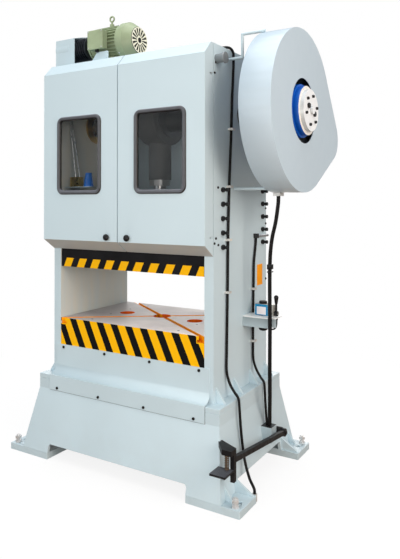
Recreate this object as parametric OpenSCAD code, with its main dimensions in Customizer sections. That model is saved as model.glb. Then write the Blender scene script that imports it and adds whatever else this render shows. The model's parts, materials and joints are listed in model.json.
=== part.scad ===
// Mechanical stamping press: two side columns on a flared base, an overhead crank
// that drives one slide, and a belt and gear drive with guards on both sides.
// X runs across the machine, Y from front to back, Z up from the floor.
// The origin is on the floor, midway between the four anchor holes.

/* [Frame] */
// Width over the outer faces of the columns
frame_w = 1300; // [1280:5:1330]
// Depth of a column from front to back
frame_d = 752; // [740:2:770]
// Thickness of a column plate
column_t = 63; // [56:1:68]
// Height of the column tops
frame_top = 2700; // [2690:5:2720]
// Thickness of the top plate between the columns
crown_t = 30; // [20:1:40]
// Thickness of the rear plate between the columns
rear_t = 30; // [20:1:32]
// Height of the lower edge of the rear plate
rear_low = 1480; // [1460:5:1520]
// Size across one rear opening
rear_hole_w = 202; // [150:1:220]
// Distance of a rear opening's middle from the machine's middle
rear_hole_x = 242; // [220:1:300]
// Lower and upper edge heights of the lower rear opening
rear_hole_low = [1951, 2120];
// Lower and upper edge heights of the upper rear opening
rear_hole_high = [2203, 2330];

/* [Base] */
// Height of the base top, where the columns stand
base_top = 538; // [525:1:550]
// Overhang of the base rim past a column's side
rim_out_x = 76; // [70:1:90]
// Overhang of the base rim past a column's front
rim_out_y = 64; // [50:1:80]
// Height of the upright band round the rim
rim_h = 98; // [90:1:110]
// Sideways flare from rim to foot
flare_x = 60; // [40:1:80]
// Forward flare from rim to foot
flare_y = 100; // [80:1:110]
// Thickness of a base wall
wall_t = 25; // [16:1:32]
// Thickness of the base lid
lid_t = 30; // [20:1:40]
// Size of the scrap opening in the lid
scrap_hole = [840, 300];
// Thickness of a foot plate
foot_t = 43; // [36:1:50]
// Length of a foot plate across the machine
foot_w = 355; // [320:5:380]
// Depth of a foot plate
foot_d = 215; // [200:5:240]
// Reach of a foot plate past the base wall
foot_out = 122; // [115:1:140]
// Height of the arches between the feet
arch_h = 100; // [80:1:120]
// Radius of an arch's upper corners
arch_r = 20; // [10:1:30]
// Radius of an anchor hole
anchor_r = 17; // [14:0.5:20]
// Anchor hole inward from the foot's outer edge and from its front edge
anchor_in = [53, 94];
// Radius of a levelling bolt
level_r = 12; // [10:0.5:14]
// Levelling bolt inward from the foot's outer edge and from its front edge
level_in = [43, 32];
// Height of a levelling bolt above its foot plate
level_h = 56; // [50:1:70]
// Height of a levelling nut
level_nut_h = 18; // [14:1:20]
// Foot gussets inward from the foot's front edge, and the rear ones from its rear edge
foot_gusset_in = [74, 20];
// Height of a foot gusset
foot_gusset_h = 82; // [70:1:95]
// Height of a gusset on the base ledge
ledge_gusset_h = 95; // [80:1:110]
// Ledge gussets inward from the column's front edge
ledge_gusset_in = [34, 262];
// Gap between a gusset's tip and the edge or hole next to it
gusset_gap = [2, 4, 11];
// Thickness of a gusset
gusset_t = 16; // [10:1:18]

/* [Bed and slide] */
// Height of the bolster's underside
bed_top = 746; // [735:1:755]
// Thickness of the bed plate
bed_t = 60; // [40:1:80]
// Thickness of a bed rib
rib_t = 40; // [30:1:50]
// Thickness of the bolster
bolster_t = 186; // [170:1:195]
// Radius of the bolster's middle hole
bolster_mid_r = 65; // [50:1:75]
// Extra radius of the bed's holes under the bolster's
bed_hole_gap = 10; // [4:1:14]
// Radius of the bolster's side holes
bolster_side_r = 55; // [40:1:60]
// Distance of a side hole from the machine's middle
bolster_side_x = 290; // [260:1:320]
// Width of a T-slot's neck
slot_w = 22; // [18:1:26]
// Width of a T-slot's foot
slot_foot_w = 38; // [32:1:44]
// Depth of the neck and height of the foot of a T-slot
slot_deep = [22, 18];
// T-slot's front end and rear end, inward from the columns' inner faces
slot_in = [20, 97];
// Height of the slide's underside at the top of its stroke
slide_low = 1293; // [1285:1:1310]
// Height of the slide's lower plate
slide_plate_h = 125; // [100:1:130]
// Height of the slide's top
slide_top = 1815; // [1800:1:1820]
// Radius of the tool shank hole in the slide
shank_r = 30; // [25:1:40]
// Depth of the tool shank hole
shank_deep = 90; // [70:1:120]
// Stroke of the slide
stroke = 90; // [70:1:96]
// Width of a gib from its column towards the middle
gib_w = 60; // [50:1:70]
// Depth of a gib from front to back
gib_d = 90; // [70:1:96]
// Gap between a gib and the rear plate
gib_gap = 6; // [2:1:10]
// Lower and upper ends of the gibs
gib_z = [1430, 1845];
// Height of the lowest gib screw
gib_screw_z = 1467; // [1460:1:1480]
// Spacing of the gib screws
gib_pitch = 88; // [80:1:90]
// Number of gib screws in a row
gib_count = 5; // [3:1:5]
// Radius of a gib screw
gib_screw_r = 9; // [7:0.5:11]
// Reach of a gib screw past its column
gib_screw_out = 44; // [40:1:56]
// Shift of the front and of the rear row of gib screws, back from their gib's middle
gib_screw_back = [25, 10];
// Height of a gib screw's head and of its lock nut
gib_screw_head = [14, 16];
// Gap round the slide's lower plate and beside the bolster
plate_gap = [4, 1];
// Wall of the slide's hollow cells
slide_wall = 45; // [36:1:52]
// Gap of a sliding face
slide_fit = 0.1; // [0.05:0.01:0.2]

/* [Crank and gears] */
// Height of the crank's axis
crank_z = 2305; // [2295:1:2312]
// Radius of a crank journal
journal_r = 70; // [60:1:80]
// Radius of the crank's gear end
nose_r = 60; // [50:1:64]
// Radius of the eccentric
eccentric_r = 150; // [140:1:160]
// Width of the eccentric
eccentric_w = 190; // [160:1:220]
// Wall of a crank bush
bush_t = 25; // [15:1:30]
// Running gap of a shaft in its bore
run_fit = 0.05; // [0.02:0.01:0.1]
// Wall of the connecting rod's big end
strap_t = 55; // [40:1:60]
// Radius of the connecting rod's stem
stem_r = 80; // [70:1:90]
// Radius of the ball screw
screw_r = 45; // [36:1:50]
// Radius of the ball at the screw's end
ball_r = 70; // [60:1:74]
// Gap round the ball in its pocket: across, front to back past the throw, and below
pocket_gap = [25, 8, 14];
// Length of the ball screw between its ball and the rod
screw_free = 210; // [200:1:230]
// Height of the ball screw's lock nut
lock_h = 40; // [30:1:50]
// Gap between the eccentric's face and the rod's, on both sides together
rod_gap = 20; // [10:1:30]
// Height of the ball's middle
ball_z = 1620; // [1610:1:1640]
// Gear module
gear_m = 12; // [12:0.1:12.4]
// Teeth of the bull gear
gear_teeth = 72; // [70:1:73]
// Teeth of the pinion
pinion_teeth = 17; // [17:1:18]
// Slope of the line from crank to pinion
mesh_slope = -13.3; // [-16:0.1:-10]
// Gap between the gear and the inner edge of the gear guard's sheet
gear_gap = 21; // [15:1:26]
// Reach of the bull gear's hub inside the gear, and its gap to the guard's face
hub_lap = [12, 8];
// Gap at the crank's shoulder beside the hub, and at its end in the hub
crank_gap = [1, 4];
// Width of the gear's face
face_w = 110; // [90:1:120]
// Radius of the bull gear's hub
hub_r = 165; // [150:1:175]
// Radii of the clutch cover's two steps and of its air inlet
clutch_r = [150, 128, 24];
// Widths of the clutch cover's two steps and of its air inlet
clutch_w = [34, 24, 16];
// Reach of the pinion shaft past the pinion
back_end = 30; // [20:1:40]
// Radius of the pinion shaft
back_r = 45; // [40:1:50]
// Gap between the column and the flywheel
fly_gap = 12; // [8:1:16]
// Radius of the flywheel
fly_r = 370; // [350:1:374]
// Width of the flywheel
fly_w = 83; // [78:1:88]

/* [Guards] */
// Gap between the right column and the gear guard
guard_out = 230; // [215:1:260]
// Width of the gear guard over its sheets
guard_w = 198; // [190:1:220]
// Distance of the gear guard's rim from the gear's teeth and from the pinion's teeth
guard_clear = [58, 32];
// Distance of the gear guard's hole from the hub
guard_hole_gap = 35; // [15:1:50]
// Thickness of the guards' sheet
sheet_t = 4; // [3:0.5:6]
// Radius of a stay bar
stay_r = 9; // [7:0.5:12]
// Reach of the upper stay before it turns up
stay_out = 101; // [80:1:120]
// Height of the upper stay's foot below the frame's top
stay_drop = 65; // [50:1:80]
// Distance of the belt guard's rim from the flywheel
belt_guard_out = 30; // [24:1:40]
// Front, rear, front height and rear height of the belt guard's nose, from the motor's axis
nose_reach = [91, 91, 70, 122];
// Inner side of the belt guard's nose, inward from the left column's outer face
nose_in = 54; // [48:1:60]
// Gap between the column and the belt guard
guard_gap = 3; // [2:0.5:5]
// Gap between the flywheel and the belt guard's outer sheet
belt_guard_gap = 34; // [28:1:40]
// Gap between the pulley and the belt guard round it
nose_gap = 12; // [8:1:16]

/* [Doors] */
// Depth of the doors in front of the columns
door_d = 103; // [95:1:115]
// Heights of the door's lower edge, front face and upper edge
door_z = [1418, 1487, 2623, 2699];
// Depth of the door's top in front of the columns
door_lip = 31; // [26:1:40]
// Thickness of the door's sheet
door_t = 3; // [2:0.5:4]
// Gap between the two doors
door_gap = 7; // [4:0.5:10]
// Gap between a door and its column
door_back = 4; // [4:0.5:6]
// Width and height of a window gasket
window = [388, 527];
// Height of the window's middle
window_z = 2058; // [2040:1:2080]
// Distance of the window's middle outward from its door's middle
window_off = 1.25; // [-20:0.25:20]
// Outer corner radius of a window gasket
window_r = 48; // [36:1:60]
// Width of a window gasket
gasket_w = 28; // [22:1:34]
// Thickness of a window pane
pane_t = 6; // [4:0.5:8]
// Radius of a latch knob
knob_r = 20.5; // [16:0.5:24]
// Latch knob from the machine's middle, and above the front face's lower edge
knob_in = [83, 29];
// Hinge pins inward from the column's side, and in front of the doors' back
hinge_in = [11, 15];
// Lower hinges above the front face's lower edge, and upper ones below its upper edge
hinge_ends = [40, 120];
// Width and height of a hinge lug
hinge_lug = [15, 10];
// Radius of a hinge pin
hinge_r = 6; // [5:0.5:7]

/* [Motor] */
// Motor's axis behind the columns' front edges and above their tops
motor_in = [231, 170];
// Drive end of the motor's frame, inward from the left column's outer face
motor_side = 185; // [170:1:200]
// Length of the motor's frame
motor_l = 283; // [260:1:300]
// Length of the fan cowl
cowl_l = 110; // [100:1:130]
// Depth of the cowl's shoulder, across and along its axis
cowl_cone = [42, 62];
// Wall of the fan cowl
cowl_wall = 3; // [2:0.5:4]
// Lap of the fan cowl over the motor's rear shield
cowl_lap = 8; // [6:0.5:9]
// Radius of the fan cowl
cowl_r = 132; // [126:1:138]
// Radius of the motor's frame under its fins
motor_r = 106; // [100:1:110]
// Height of a cooling fin
fin_h = 20; // [14:1:22]
// Number of cooling fins
fin_count = 32; // [24:4:40]
// Radius of the motor shaft
motor_shaft_r = 19; // [16:0.5:21]
// Radius of the pulley
pulley_r = 82; // [76:1:84]
// Gap between the pulley and the motor's end
motor_gap = 41; // [30:1:50]
// Height of the motor's axis above its bed
motor_h = 132; // [130:1:134]
// Gap between a belt and what it runs on
belt_gap = 0.4; // [0.3:0.1:0.6]
// Pitch of the pulley's grooves
groove_pitch = 19; // [18:0.5:19]
// Depth of a groove
groove_d = 11; // [9:0.5:13]
// Number of belts
belt_count = 4; // [2:1:4]
// Width of a belt
belt_w = 12; // [10:0.5:13]
// Thickness of a belt
belt_t = 10; // [8:0.5:11]
// Radius of the eyebolt's ring
eye_r = 24; // [20:1:28]

/* [Fittings] */
// Thickness of the folded apron
apron_t = 6; // [4:0.5:8]
// Apron's ends inward from the columns' outer faces
apron_in = 24; // [10:1:50]
// Distances of the apron screws from the middle
apron_screw_x = [185, 553];
// Radius of an apron screw
apron_screw_r = 9; // [7:0.5:11]
// Radius of a lifting pin
lift_r = 27; // [22:1:32]
// Lifting pin inward from the column's front edge and below its top
lift_in = [37, 90];
// Reach of a lifting pin
lift_out = 65; // [50:1:80]
// Radius of a conduit
conduit_r = 9; // [7:0.5:9]
// Lubricator shelf, reach from the column
shelf_out = 180; // [170:1:190]
// Lubricator shelf, front edge and rear edge
shelf_y = [8, 126];
// Lubricator shelf, height of its top
shelf_z = 1005; // [990:1:1020]
// Height of the shelf's flange
shelf_flange = 68; // [50:1:80]
// Width, depth and height of the lubricator pump
pump = [94, 56, 75];
// Radius of the oil bowl under the shelf
bowl_r = 31; // [26:1:34]
// Distance of the treadle bar outside the base rim
treadle_out = 124; // [120:1:130]
// Width and height of the treadle bar
treadle_bar_size = [28, 30];
// Front end of the treadle bar, in front of the columns and up from the floor
treadle_reach = [129, 306];
// Pivot of the treadle, in front of the columns' rear edges and up from the floor
treadle_hinge = [162, 215];
// Lower and upper end of the treadle's arm
arm_z = [182, 336];
// Radius of the treadle's pivot pin
treadle_pin_r = 12; // [10:0.5:13]
// Width and length of the pedal plate
pedal = [100, 104];
// Height of the pedal plate's top
pedal_z = 254; // [245:1:262]

/* [Hidden] */
$fn = 48;
over = 1;
hole_gap = 0.3;
half_w = frame_w / 2;
half_d = frame_d / 2;
inner_x = half_w - column_t;
half_rim = [half_w + rim_out_x, half_d + rim_out_y];
half_foot = half_rim + [flare_x, flare_y];
rim_z = base_top - rim_h;
lid_z = base_top - lid_t;
foot_x = half_foot[0] + foot_out;
anchor_at = [foot_x - anchor_in[0], half_foot[1] - anchor_in[1]];
level_at = [foot_x - level_in[0], half_foot[1] - level_in[1]];
bolster_top = bed_top + bolster_t;
slot_ends = [inner_x - slot_in[0], inner_x - slot_in[1]];
gib_y = half_d - rear_t - gib_gap - gib_d / 2;
slot_mid_y = half_d * (slot_ends[0] - slot_ends[1]) / (slot_ends[0] + slot_ends[1]);
bush_r = journal_r + bush_t;
throw = stroke / 2;
pin_z = crank_z + throw;
mesh_d = gear_m * (gear_teeth + pinion_teeth) / 2;
back_at = [mesh_d * cos(mesh_slope), crank_z + mesh_d * sin(mesh_slope)];
guard_x = [half_w + guard_out, half_w + guard_out + guard_w];
guard_r = gear_m * (gear_teeth + 2) / 2 + guard_clear[0];
guard_small_r = gear_m * (pinion_teeth + 2) / 2 + guard_clear[1];
guard_hole_r = hub_r + guard_hole_gap;
gear_x = guard_x[0] + sheet_t + gear_gap;
hub_x = [gear_x - hub_lap[0], guard_x[1] - sheet_t - hub_lap[1]];
clutch_x = [
    hub_x[1], hub_x[1] + clutch_w[0], hub_x[1] + clutch_w[0] + clutch_w[1],
    hub_x[1] + clutch_w[0] + clutch_w[1] + clutch_w[2]];
fly_x = [-half_w - fly_gap - fly_w, -half_w - fly_gap];
belt_seat = pulley_r - groove_d + belt_gap;
belt_guard_x = fly_x[0] - belt_guard_gap;
belt_guard_r = fly_r + belt_guard_out;
motor_at = [motor_in[0] - half_d, frame_top + motor_in[1]];
motor_x = [motor_side - half_w, motor_side - half_w + motor_l];
nose_box = [
    motor_at[0] - nose_reach[0], motor_at[0] + nose_reach[1],
    motor_at[1] + nose_reach[2], motor_at[1] + nose_reach[3]];
window_x = (half_w + door_gap / 2) / 2 + window_off;
knob_at = [knob_in[0], door_z[1] + knob_in[1]];
apron_x = half_w - apron_in;
treadle_front = [-half_d - treadle_reach[0], treadle_reach[1]];
treadle_pivot = [half_d - treadle_hinge[0], treadle_hinge[1]];
hinge_at = [half_w - hinge_in[0], -half_d - door_back - hinge_in[1]];
hinge_z = [door_z[1] + hinge_ends[0], door_z[2] - hinge_ends[1]];
stem_low = ball_z + ball_r + screw_free;
treadle_x = half_rim[0] + treadle_out;
PAINT = "#c9d6dc";
STEEL = "#a9adb2";
BLACK = "#222426";
GREEN = "#8aa57f";
BLUE = "#1f5fb0";

// Routes of the conduits, as points from their upper end to their lower end. They are
// measured across from the right column's outer face, and front to back from the middle.
function beside(route) = [for (p = route) p + [half_w, 0, 0]];
route_front = beside([
    [-90, -196, 2713], [-30, -196, 2713], [-10, -190, 2713], [6, -180, 2709], [17, -168, 2695],
    [19, -155, 2675], [16, -149, 2650], [14, -145, 2605], [13, -148, 2550], [13, -152, 2490],
    [12, -160, 2400], [12, -171, 2200], [12, -198, 1840], [12, -214, 1510], [12, -221, 1187],
    [12, -232, 820], [14, -236, 699], [34, -234, 630], [66, -231, 580], [90, -229, 548],
    [98, -231, 500], [110, -236, 380], [126, -239, 257], [150, -255, 180], [195, -288, 110],
    [224, -304, 82], [236, -309, 66], [238, -310, 54], [238, -310, 42]]);
route_rear = beside([
    [12, 186, 1500], [12, 186, 1485], [12, 180, 1450], [12, 155, 1340], [12, 147, 1163],
    [12, 140, 990], [12, 139, 816], [14, 140, 690], [34, 142, 628], [66, 142, 578], [90, 142, 548],
    [96, 142, 500], [102, 138, 420], [116, 124, 330], [123, 116, 298], [123, 116, 284]]);
route_hanging = beside([
    [255, -5, 1782], [255, -5, 1768], [254, -8, 1730], [240, -14, 1620], [218, -18, 1520],
    [205, -18, 1420], [199, -14, 1300], [197, -10, 1100], [197, -8, 1000], [196, -6, 900],
    [192, 0, 700], [180, 28, 500], [160, 70, 380], [149, 94, 320], [147, 98, 298], [147, 98, 284]]);

// Box between two corners
module span(low, high) {
    translate(low) cube(high - low);
}

// Copies on both sides of the machine's middle, and at front and back
module both_x() {
    children();
    mirror([1, 0, 0]) children();
}
module both_y() {
    children();
    mirror([0, 1, 0]) children();
}

// Round bars along the axes
module bar_x(x, r) {
    translate([x[0], 0, 0]) rotate([0, 90, 0]) cylinder(h = x[1] - x[0], r = r);
}
module bar_y(y, r) {
    translate([0, y[0], 0]) rotate([-90, 0, 0]) cylinder(h = y[1] - y[0], r = r);
}

// Outlines drawn from the side (y, z) or from the front (x, z), given thickness
module side_profile(x) {
    translate([x[0], 0, 0]) rotate([90, 0, 90]) linear_extrude(x[1] - x[0]) children();
}
module front_profile(y) {
    translate([0, y[1], 0]) rotate([90, 0, 0]) linear_extrude(y[1] - y[0]) children();
}

// Rectangle with round corners about the origin
module round_rect(size, r) {
    square([size[0] - 2 * r, size[1]], center = true);
    square([size[0], size[1] - 2 * r], center = true);
    for (x = [-1, 1], y = [-1, 1])
        translate([x * (size[0] / 2 - r), y * (size[1] / 2 - r)]) circle(r);
}

// Outline round two circles and the straight lines that touch both
module pear(at_a, r_a, at_b, r_b) {
    line = at_b - at_a;
    way = atan2(line[1], line[0]);
    turn = acos((r_a - r_b) / norm(line));
    translate(at_a) circle(r_a, $fn = 96);
    translate(at_b) circle(r_b);
    polygon([
        at_a + r_a * [cos(way + turn), sin(way + turn)],
        at_a + r_a * [cos(way - turn), sin(way - turn)],
        at_b + r_b * [cos(way - turn), sin(way - turn)],
        at_b + r_b * [cos(way + turn), sin(way + turn)]]);
}

// Outline moved inward by t along every edge, for points listed counterclockwise
function unit(v) = v / norm(v);
function left_of(v) = [-v[1], v[0]];
function inset(pts, t) = [
    for (i = [0 : len(pts) - 1])
        let (a = pts[(i + len(pts) - 1) % len(pts)], b = pts[i], c = pts[(i + 1) % len(pts)],
             n = left_of(unit(b - a)), m = left_of(unit(c - b)))
        b + t * (n + m) / (1 + n * m)];

// Round tube swept along a route of points
TUBE_SIDES = 8;
TUBE_REF = [0.35, 0.9, 0.25];
function way_at(p, i) =
    unit(p[min(i + 1, len(p) - 1)] - p[max(i - 1, 0)]);
function ring_at(p, i, r) =
    let (w = way_at(p, i), u = unit(cross(w, TUBE_REF)), v = cross(w, u))
    [for (k = [0 : TUBE_SIDES - 1])
        p[i] + r * (cos(k * 360 / TUBE_SIDES) * u + sin(k * 360 / TUBE_SIDES) * v)];
module tube(route, r) {
    last = len(route) - 1;
    polyhedron(
        points = [for (i = [0 : last]) each ring_at(route, i, r)],
        faces = concat(
            [[for (k = [0 : TUBE_SIDES - 1]) k]],
            [for (i = [0 : last - 1], k = [0 : TUBE_SIDES - 1])
                let (a = i * TUBE_SIDES + k, b = i * TUBE_SIDES + (k + 1) % TUBE_SIDES)
                each [[a, a + TUBE_SIDES, b + TUBE_SIDES], [a, b + TUBE_SIDES, b]]],
            [[for (k = [TUBE_SIDES - 1 : -1 : 0]) last * TUBE_SIDES + k]]));
}

// Block whose rectangle changes from low to high between two heights
CORNERS = [[-1, -1], [1, -1], [1, 1], [-1, 1]];
module taper_block(low, high, z) {
    polyhedron(
        points = concat(
            [for (c = CORNERS) [c[0] * low[0], c[1] * low[1], z[0]]],
            [for (c = CORNERS) [c[0] * high[0], c[1] * high[1], z[1]]]),
        faces = [[0, 1, 2, 3], [7, 6, 5, 4], [4, 5, 1, 0], [5, 6, 2, 1], [6, 7, 3, 2], [7, 4, 0, 3]]);
}

// Half width and half depth of the flared base at height z
function half_at(z) = half_rim + (half_foot - half_rim) * (rim_z - z) / (rim_z - foot_t);
module base_solid(cut, low, high) {
    shrink = [cut, cut];
    taper_block(half_at(low) - shrink, half_rim - shrink, [low, rim_z]);
    translate([0, 0, rim_z - over])
        linear_extrude(high - rim_z + over) square(2 * (half_rim - shrink), center = true);
}

module arch(half, h, r) {
    translate([-half, -over]) square([2 * half, h - r + over]);
    translate([-half + r, -over]) square([2 * (half - r), h + over]);
    for (side = [-1, 1]) translate([side * (half - r), h - r]) circle(r);
}

module base_walls() {
    difference() {
        base_solid(0, foot_t, lid_z);
        base_solid(wall_t, foot_t - over, lid_z + over);
        front_profile([-half_foot[1] - over, half_foot[1] + over]) arch(foot_x - foot_w, arch_h, arch_r);
        side_profile([-half_foot[0] - over, half_foot[0] + over])
            arch(half_foot[1] - foot_d, arch_h, arch_r);
    }
}

// Space on the front and rear sides of the mitres at the base corners
module mitre_wedges() {
    outer = half_foot + (half_foot - half_rim);
    deep = half_rim - 2 * (half_foot - half_rim);
    both_y() linear_extrude(base_top)
        polygon([[-outer[0], -outer[1]], [outer[0], -outer[1]], [deep[0], -deep[1]], [-deep[0], -deep[1]]]);
}

module base_end_walls() {
    color(PAINT) intersection() {
        base_walls();
        mitre_wedges();
    }
}

module base_side_walls() {
    color(PAINT) difference() {
        base_walls();
        mitre_wedges();
    }
}

module base_lid() {
    color(PAINT) difference() {
        span([-half_rim[0], -half_rim[1], lid_z], [half_rim[0], half_rim[1], base_top]);
        translate([0, 0, lid_z - over]) linear_extrude(lid_t + 2 * over) square(scrap_hole, center = true);
    }
}

module foot_plates() {
    color(PAINT) both_x() both_y() difference() {
        span([foot_x - foot_w, -half_foot[1], 0], [foot_x, foot_d - half_foot[1], foot_t]);
        translate([anchor_at[0], -anchor_at[1], -over]) cylinder(h = foot_t + 2 * over, r = anchor_r);
        translate([level_at[0], -level_at[1], -over])
            cylinder(h = foot_t + 2 * over, r = level_r + hole_gap);
    }
}

module levelling_bolts() {
    nut_r = 1.75 * level_r;
    nut_step = 1.6 * level_nut_h;
    color(STEEL) both_x() both_y() translate([level_at[0], -level_at[1], 0]) {
        cylinder(h = foot_t + level_h, r = level_r);
        for (z = [foot_t, foot_t + nut_step])
            translate([0, 0, z]) cylinder(h = level_nut_h, r = nut_r, $fn = 6);
    }
}

module gussets() {
    front_gusset = [anchor_at[0] - anchor_r - gusset_gap[0], half_foot[1] - foot_gusset_in[0]];
    rear_gusset = [foot_x - gusset_gap[1], half_foot[1] - foot_d + foot_gusset_in[1]];
    ledge_gusset = [rim_out_x - gusset_gap[2], ledge_gusset_h];
    color(PAINT) both_x() both_y() {
        for (g = [front_gusset, rear_gusset])
            front_profile([-g[1] - gusset_t / 2, -g[1] + gusset_t / 2])
                polygon([
                    [half_at(foot_t)[0], foot_t], [g[0], foot_t],
                    [half_at(foot_t + foot_gusset_h)[0], foot_t + foot_gusset_h]]);
        for (y = [half_d - ledge_gusset_in[0], half_d - ledge_gusset_in[1]])
            front_profile([-y - gusset_t / 2, -y + gusset_t / 2])
                polygon([
                    [half_w, base_top], [half_w + ledge_gusset[0], base_top],
                    [half_w, base_top + ledge_gusset[1]]]);
    }
}

// Places of the gib screws on one column, front to back and up
gib_rows = [gib_screw_back[0] - gib_y, gib_screw_back[1] + gib_y];
gib_spots = [for (y = gib_rows, k = [0 : gib_count - 1]) [y, gib_screw_z + k * gib_pitch]];

// Fixed half of a door hinge: a lug on the column's front with an upright pin
module hinge_lugs() {
    for (z = hinge_z) {
        span([hinge_at[0] - hinge_lug[0] / 2 - 2, hinge_at[1] - hinge_lug[0] / 2, z],
             [hinge_at[0] + hinge_lug[0] / 2 - 2, over - half_d, z + hinge_lug[1]]);
        translate([hinge_at[0], hinge_at[1], z]) cylinder(h = 4 * hinge_lug[1], r = hinge_r);
    }
}

module column() {
    difference() {
        span([inner_x, -half_d, base_top], [half_w, half_d, frame_top]);
        translate([0, 0, crank_z]) bar_x([inner_x - over, half_w + over], bush_r + hole_gap);
        for (p = gib_spots)
            translate([0, p[0], p[1]]) bar_x([inner_x - over, half_w + over], gib_screw_r + hole_gap);
    }
    hinge_lugs();
}

module left_column() {
    color(PAINT) mirror([1, 0, 0]) column();
}

module right_column() {
    color(PAINT) column();
}

module crown_top_plate() {
    color(PAINT) span([-inner_x, -half_d, frame_top - crown_t], [inner_x, half_d, frame_top]);
}

module crown_rear_plate() {
    color(PAINT) difference() {
        span([-inner_x, half_d - rear_t, rear_low], [inner_x, half_d, frame_top - crown_t]);
        both_x() for (z = [rear_hole_low, rear_hole_high])
            span([rear_hole_x - rear_hole_w / 2, half_d - rear_t - over, z[0]],
                 [rear_hole_x + rear_hole_w / 2, half_d + over, z[1]]);
    }
}

module bed_plate() {
    color(PAINT) difference() {
        span([-inner_x, -half_d, bed_top - bed_t], [inner_x, half_d, bed_top]);
        translate([0, slot_mid_y, bed_top - bed_t - over])
            cylinder(h = bed_t + 2 * over, r = bolster_mid_r + bed_hole_gap);
        both_x() translate([bolster_side_x, 0, bed_top - bed_t - over])
            cylinder(h = bed_t + 2 * over, r = bolster_side_r + bed_hole_gap);
    }
}

module bed_ribs() {
    color(PAINT) both_y()
        span([-inner_x, -half_d + rib_t / 2, base_top], [inner_x, -half_d + 1.5 * rib_t, bed_top - bed_t]);
}

// One T-slot from a front corner to the far rear edge
module t_slot() {
    run = [-(slot_ends[0] + slot_ends[1]), frame_d];
    long = norm(run) + 4 * slot_foot_w;
    translate([(slot_ends[0] - slot_ends[1]) / 2, 0, bolster_top]) rotate(atan2(run[1], run[0])) {
        translate([-long / 2, -slot_w / 2, -slot_deep[0]]) cube([long, slot_w, slot_deep[0] + over]);
        translate([-long / 2, -slot_foot_w / 2, -slot_deep[0] - slot_deep[1]])
            cube([long, slot_foot_w, slot_deep[1]]);
    }
}

module bolster() {
    side_gap = plate_gap[1];
    color("#e0a800") difference() {
        span([side_gap - inner_x, -half_d, bed_top], [inner_x - side_gap, half_d, bolster_top]);
        both_x() t_slot();
        translate([0, slot_mid_y, bed_top - over]) cylinder(h = bolster_t + 2 * over, r = bolster_mid_r);
        both_x() translate([bolster_side_x, 0, bed_top - over])
            cylinder(h = bolster_t + 2 * over, r = bolster_side_r);
    }
}

// Folded sheet: down the bed's front, out in a hollow curve, and down over the base rim
module apron_outline() {
    bend = [-half_d - rim_out_y, base_top + rim_out_y];
    translate([-half_d - apron_t, bend[1]]) square([apron_t, bed_top - bend[1]]);
    translate(bend) intersection() {
        difference() {
            circle(rim_out_y);
            circle(rim_out_y - apron_t);
        }
        translate([0, -rim_out_y]) square(rim_out_y);
    }
    translate([-half_rim[1] - apron_t, rim_z]) square([apron_t, rim_h + apron_t]);
}

module apron() {
    color(PAINT) side_profile([-apron_x, apron_x]) apron_outline();
}

module apron_screws() {
    head_h = 6;
    color(BLACK) both_x() for (x = apron_screw_x) {
        translate([x, 0, bed_top - 2 * apron_screw_r])
            bar_y([-half_d - apron_t - head_h, -half_d - apron_t], apron_screw_r);
        translate([x, 0, rim_z + 2 * apron_screw_r])
            bar_y([-half_rim[1] - apron_t - head_h, -half_rim[1] - apron_t], apron_screw_r);
    }
}

module gibs() {
    color(STEEL) both_x() both_y()
        span([inner_x - gib_w, gib_y - gib_d / 2, gib_z[0]], [inner_x, gib_y + gib_d / 2, gib_z[1]]);
}

module gib_screws() {
    end = half_w + gib_screw_out;
    head_r = 1.35 * gib_screw_r;
    nut_r = 1.8 * gib_screw_r;
    color(BLACK) both_x() for (p = gib_spots) translate([0, p[0], p[1]]) {
        bar_x([inner_x, end], gib_screw_r);
        bar_x([end - gib_screw_head[0], end], head_r);
        translate([half_w, 0, 0]) rotate([0, 90, 0]) cylinder(h = gib_screw_head[1], r = nut_r, $fn = 6);
    }
}

// Slide: a wide lower plate, an upper body between the gibs and an open pocket for the ball
module slide() {
    gap = plate_gap[0];
    tongue_y = gib_y - gib_d / 2 - slide_fit;
    tongue_x = inner_x - gib_w / 3;
    way_x = inner_x - gib_w - slide_fit;
    body_y = gib_y + gib_d / 2;
    pocket = [2 * (ball_r + pocket_gap[0]), 2 * (ball_r + throw + pocket_gap[1])];
    pocket_z = ball_z - ball_r - pocket_gap[2];
    wall = slide_wall;
    cell_z = slide_low + 0.6 * slide_plate_h;
    color(BLACK) difference() {
        union() {
            span([gap - inner_x, gap - half_d, slide_low],
                 [inner_x - gap, half_d - gap, slide_low + slide_plate_h]);
            span([-way_x, -body_y, slide_low], [way_x, body_y, slide_top]);
            span([-tongue_x, -tongue_y, slide_low], [tongue_x, tongue_y, slide_top]);
        }
        translate([0, 0, pocket_z]) linear_extrude(slide_top - pocket_z + over) square(pocket, center = true);
        both_x() span([pocket[0] / 2 + wall, wall - body_y, cell_z],
                      [way_x - wall, body_y - wall, slide_top + over]);
        translate([0, 0, slide_low - over]) cylinder(h = shank_deep + over, r = shank_r);
    }
}

module crank_bushes() {
    flange = 12;
    color("#b08d3c") both_x() translate([0, 0, crank_z]) difference() {
        union() {
            bar_x([inner_x, half_w], bush_r);
            bar_x([inner_x - flange, inner_x], bush_r + 2 * flange);
        }
        bar_x([inner_x - flange - over, half_w + over], journal_r + run_fit);
    }
}

module crankshaft() {
    color(STEEL) translate([0, 0, crank_z]) {
        bar_x([-half_w, hub_x[0] - crank_gap[0]], journal_r);
        bar_x([hub_x[0] - crank_gap[0], hub_x[1] - crank_gap[1]], nose_r);
        translate([0, 0, throw]) bar_x([-eccentric_w / 2, eccentric_w / 2], eccentric_r);
    }
}

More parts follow.
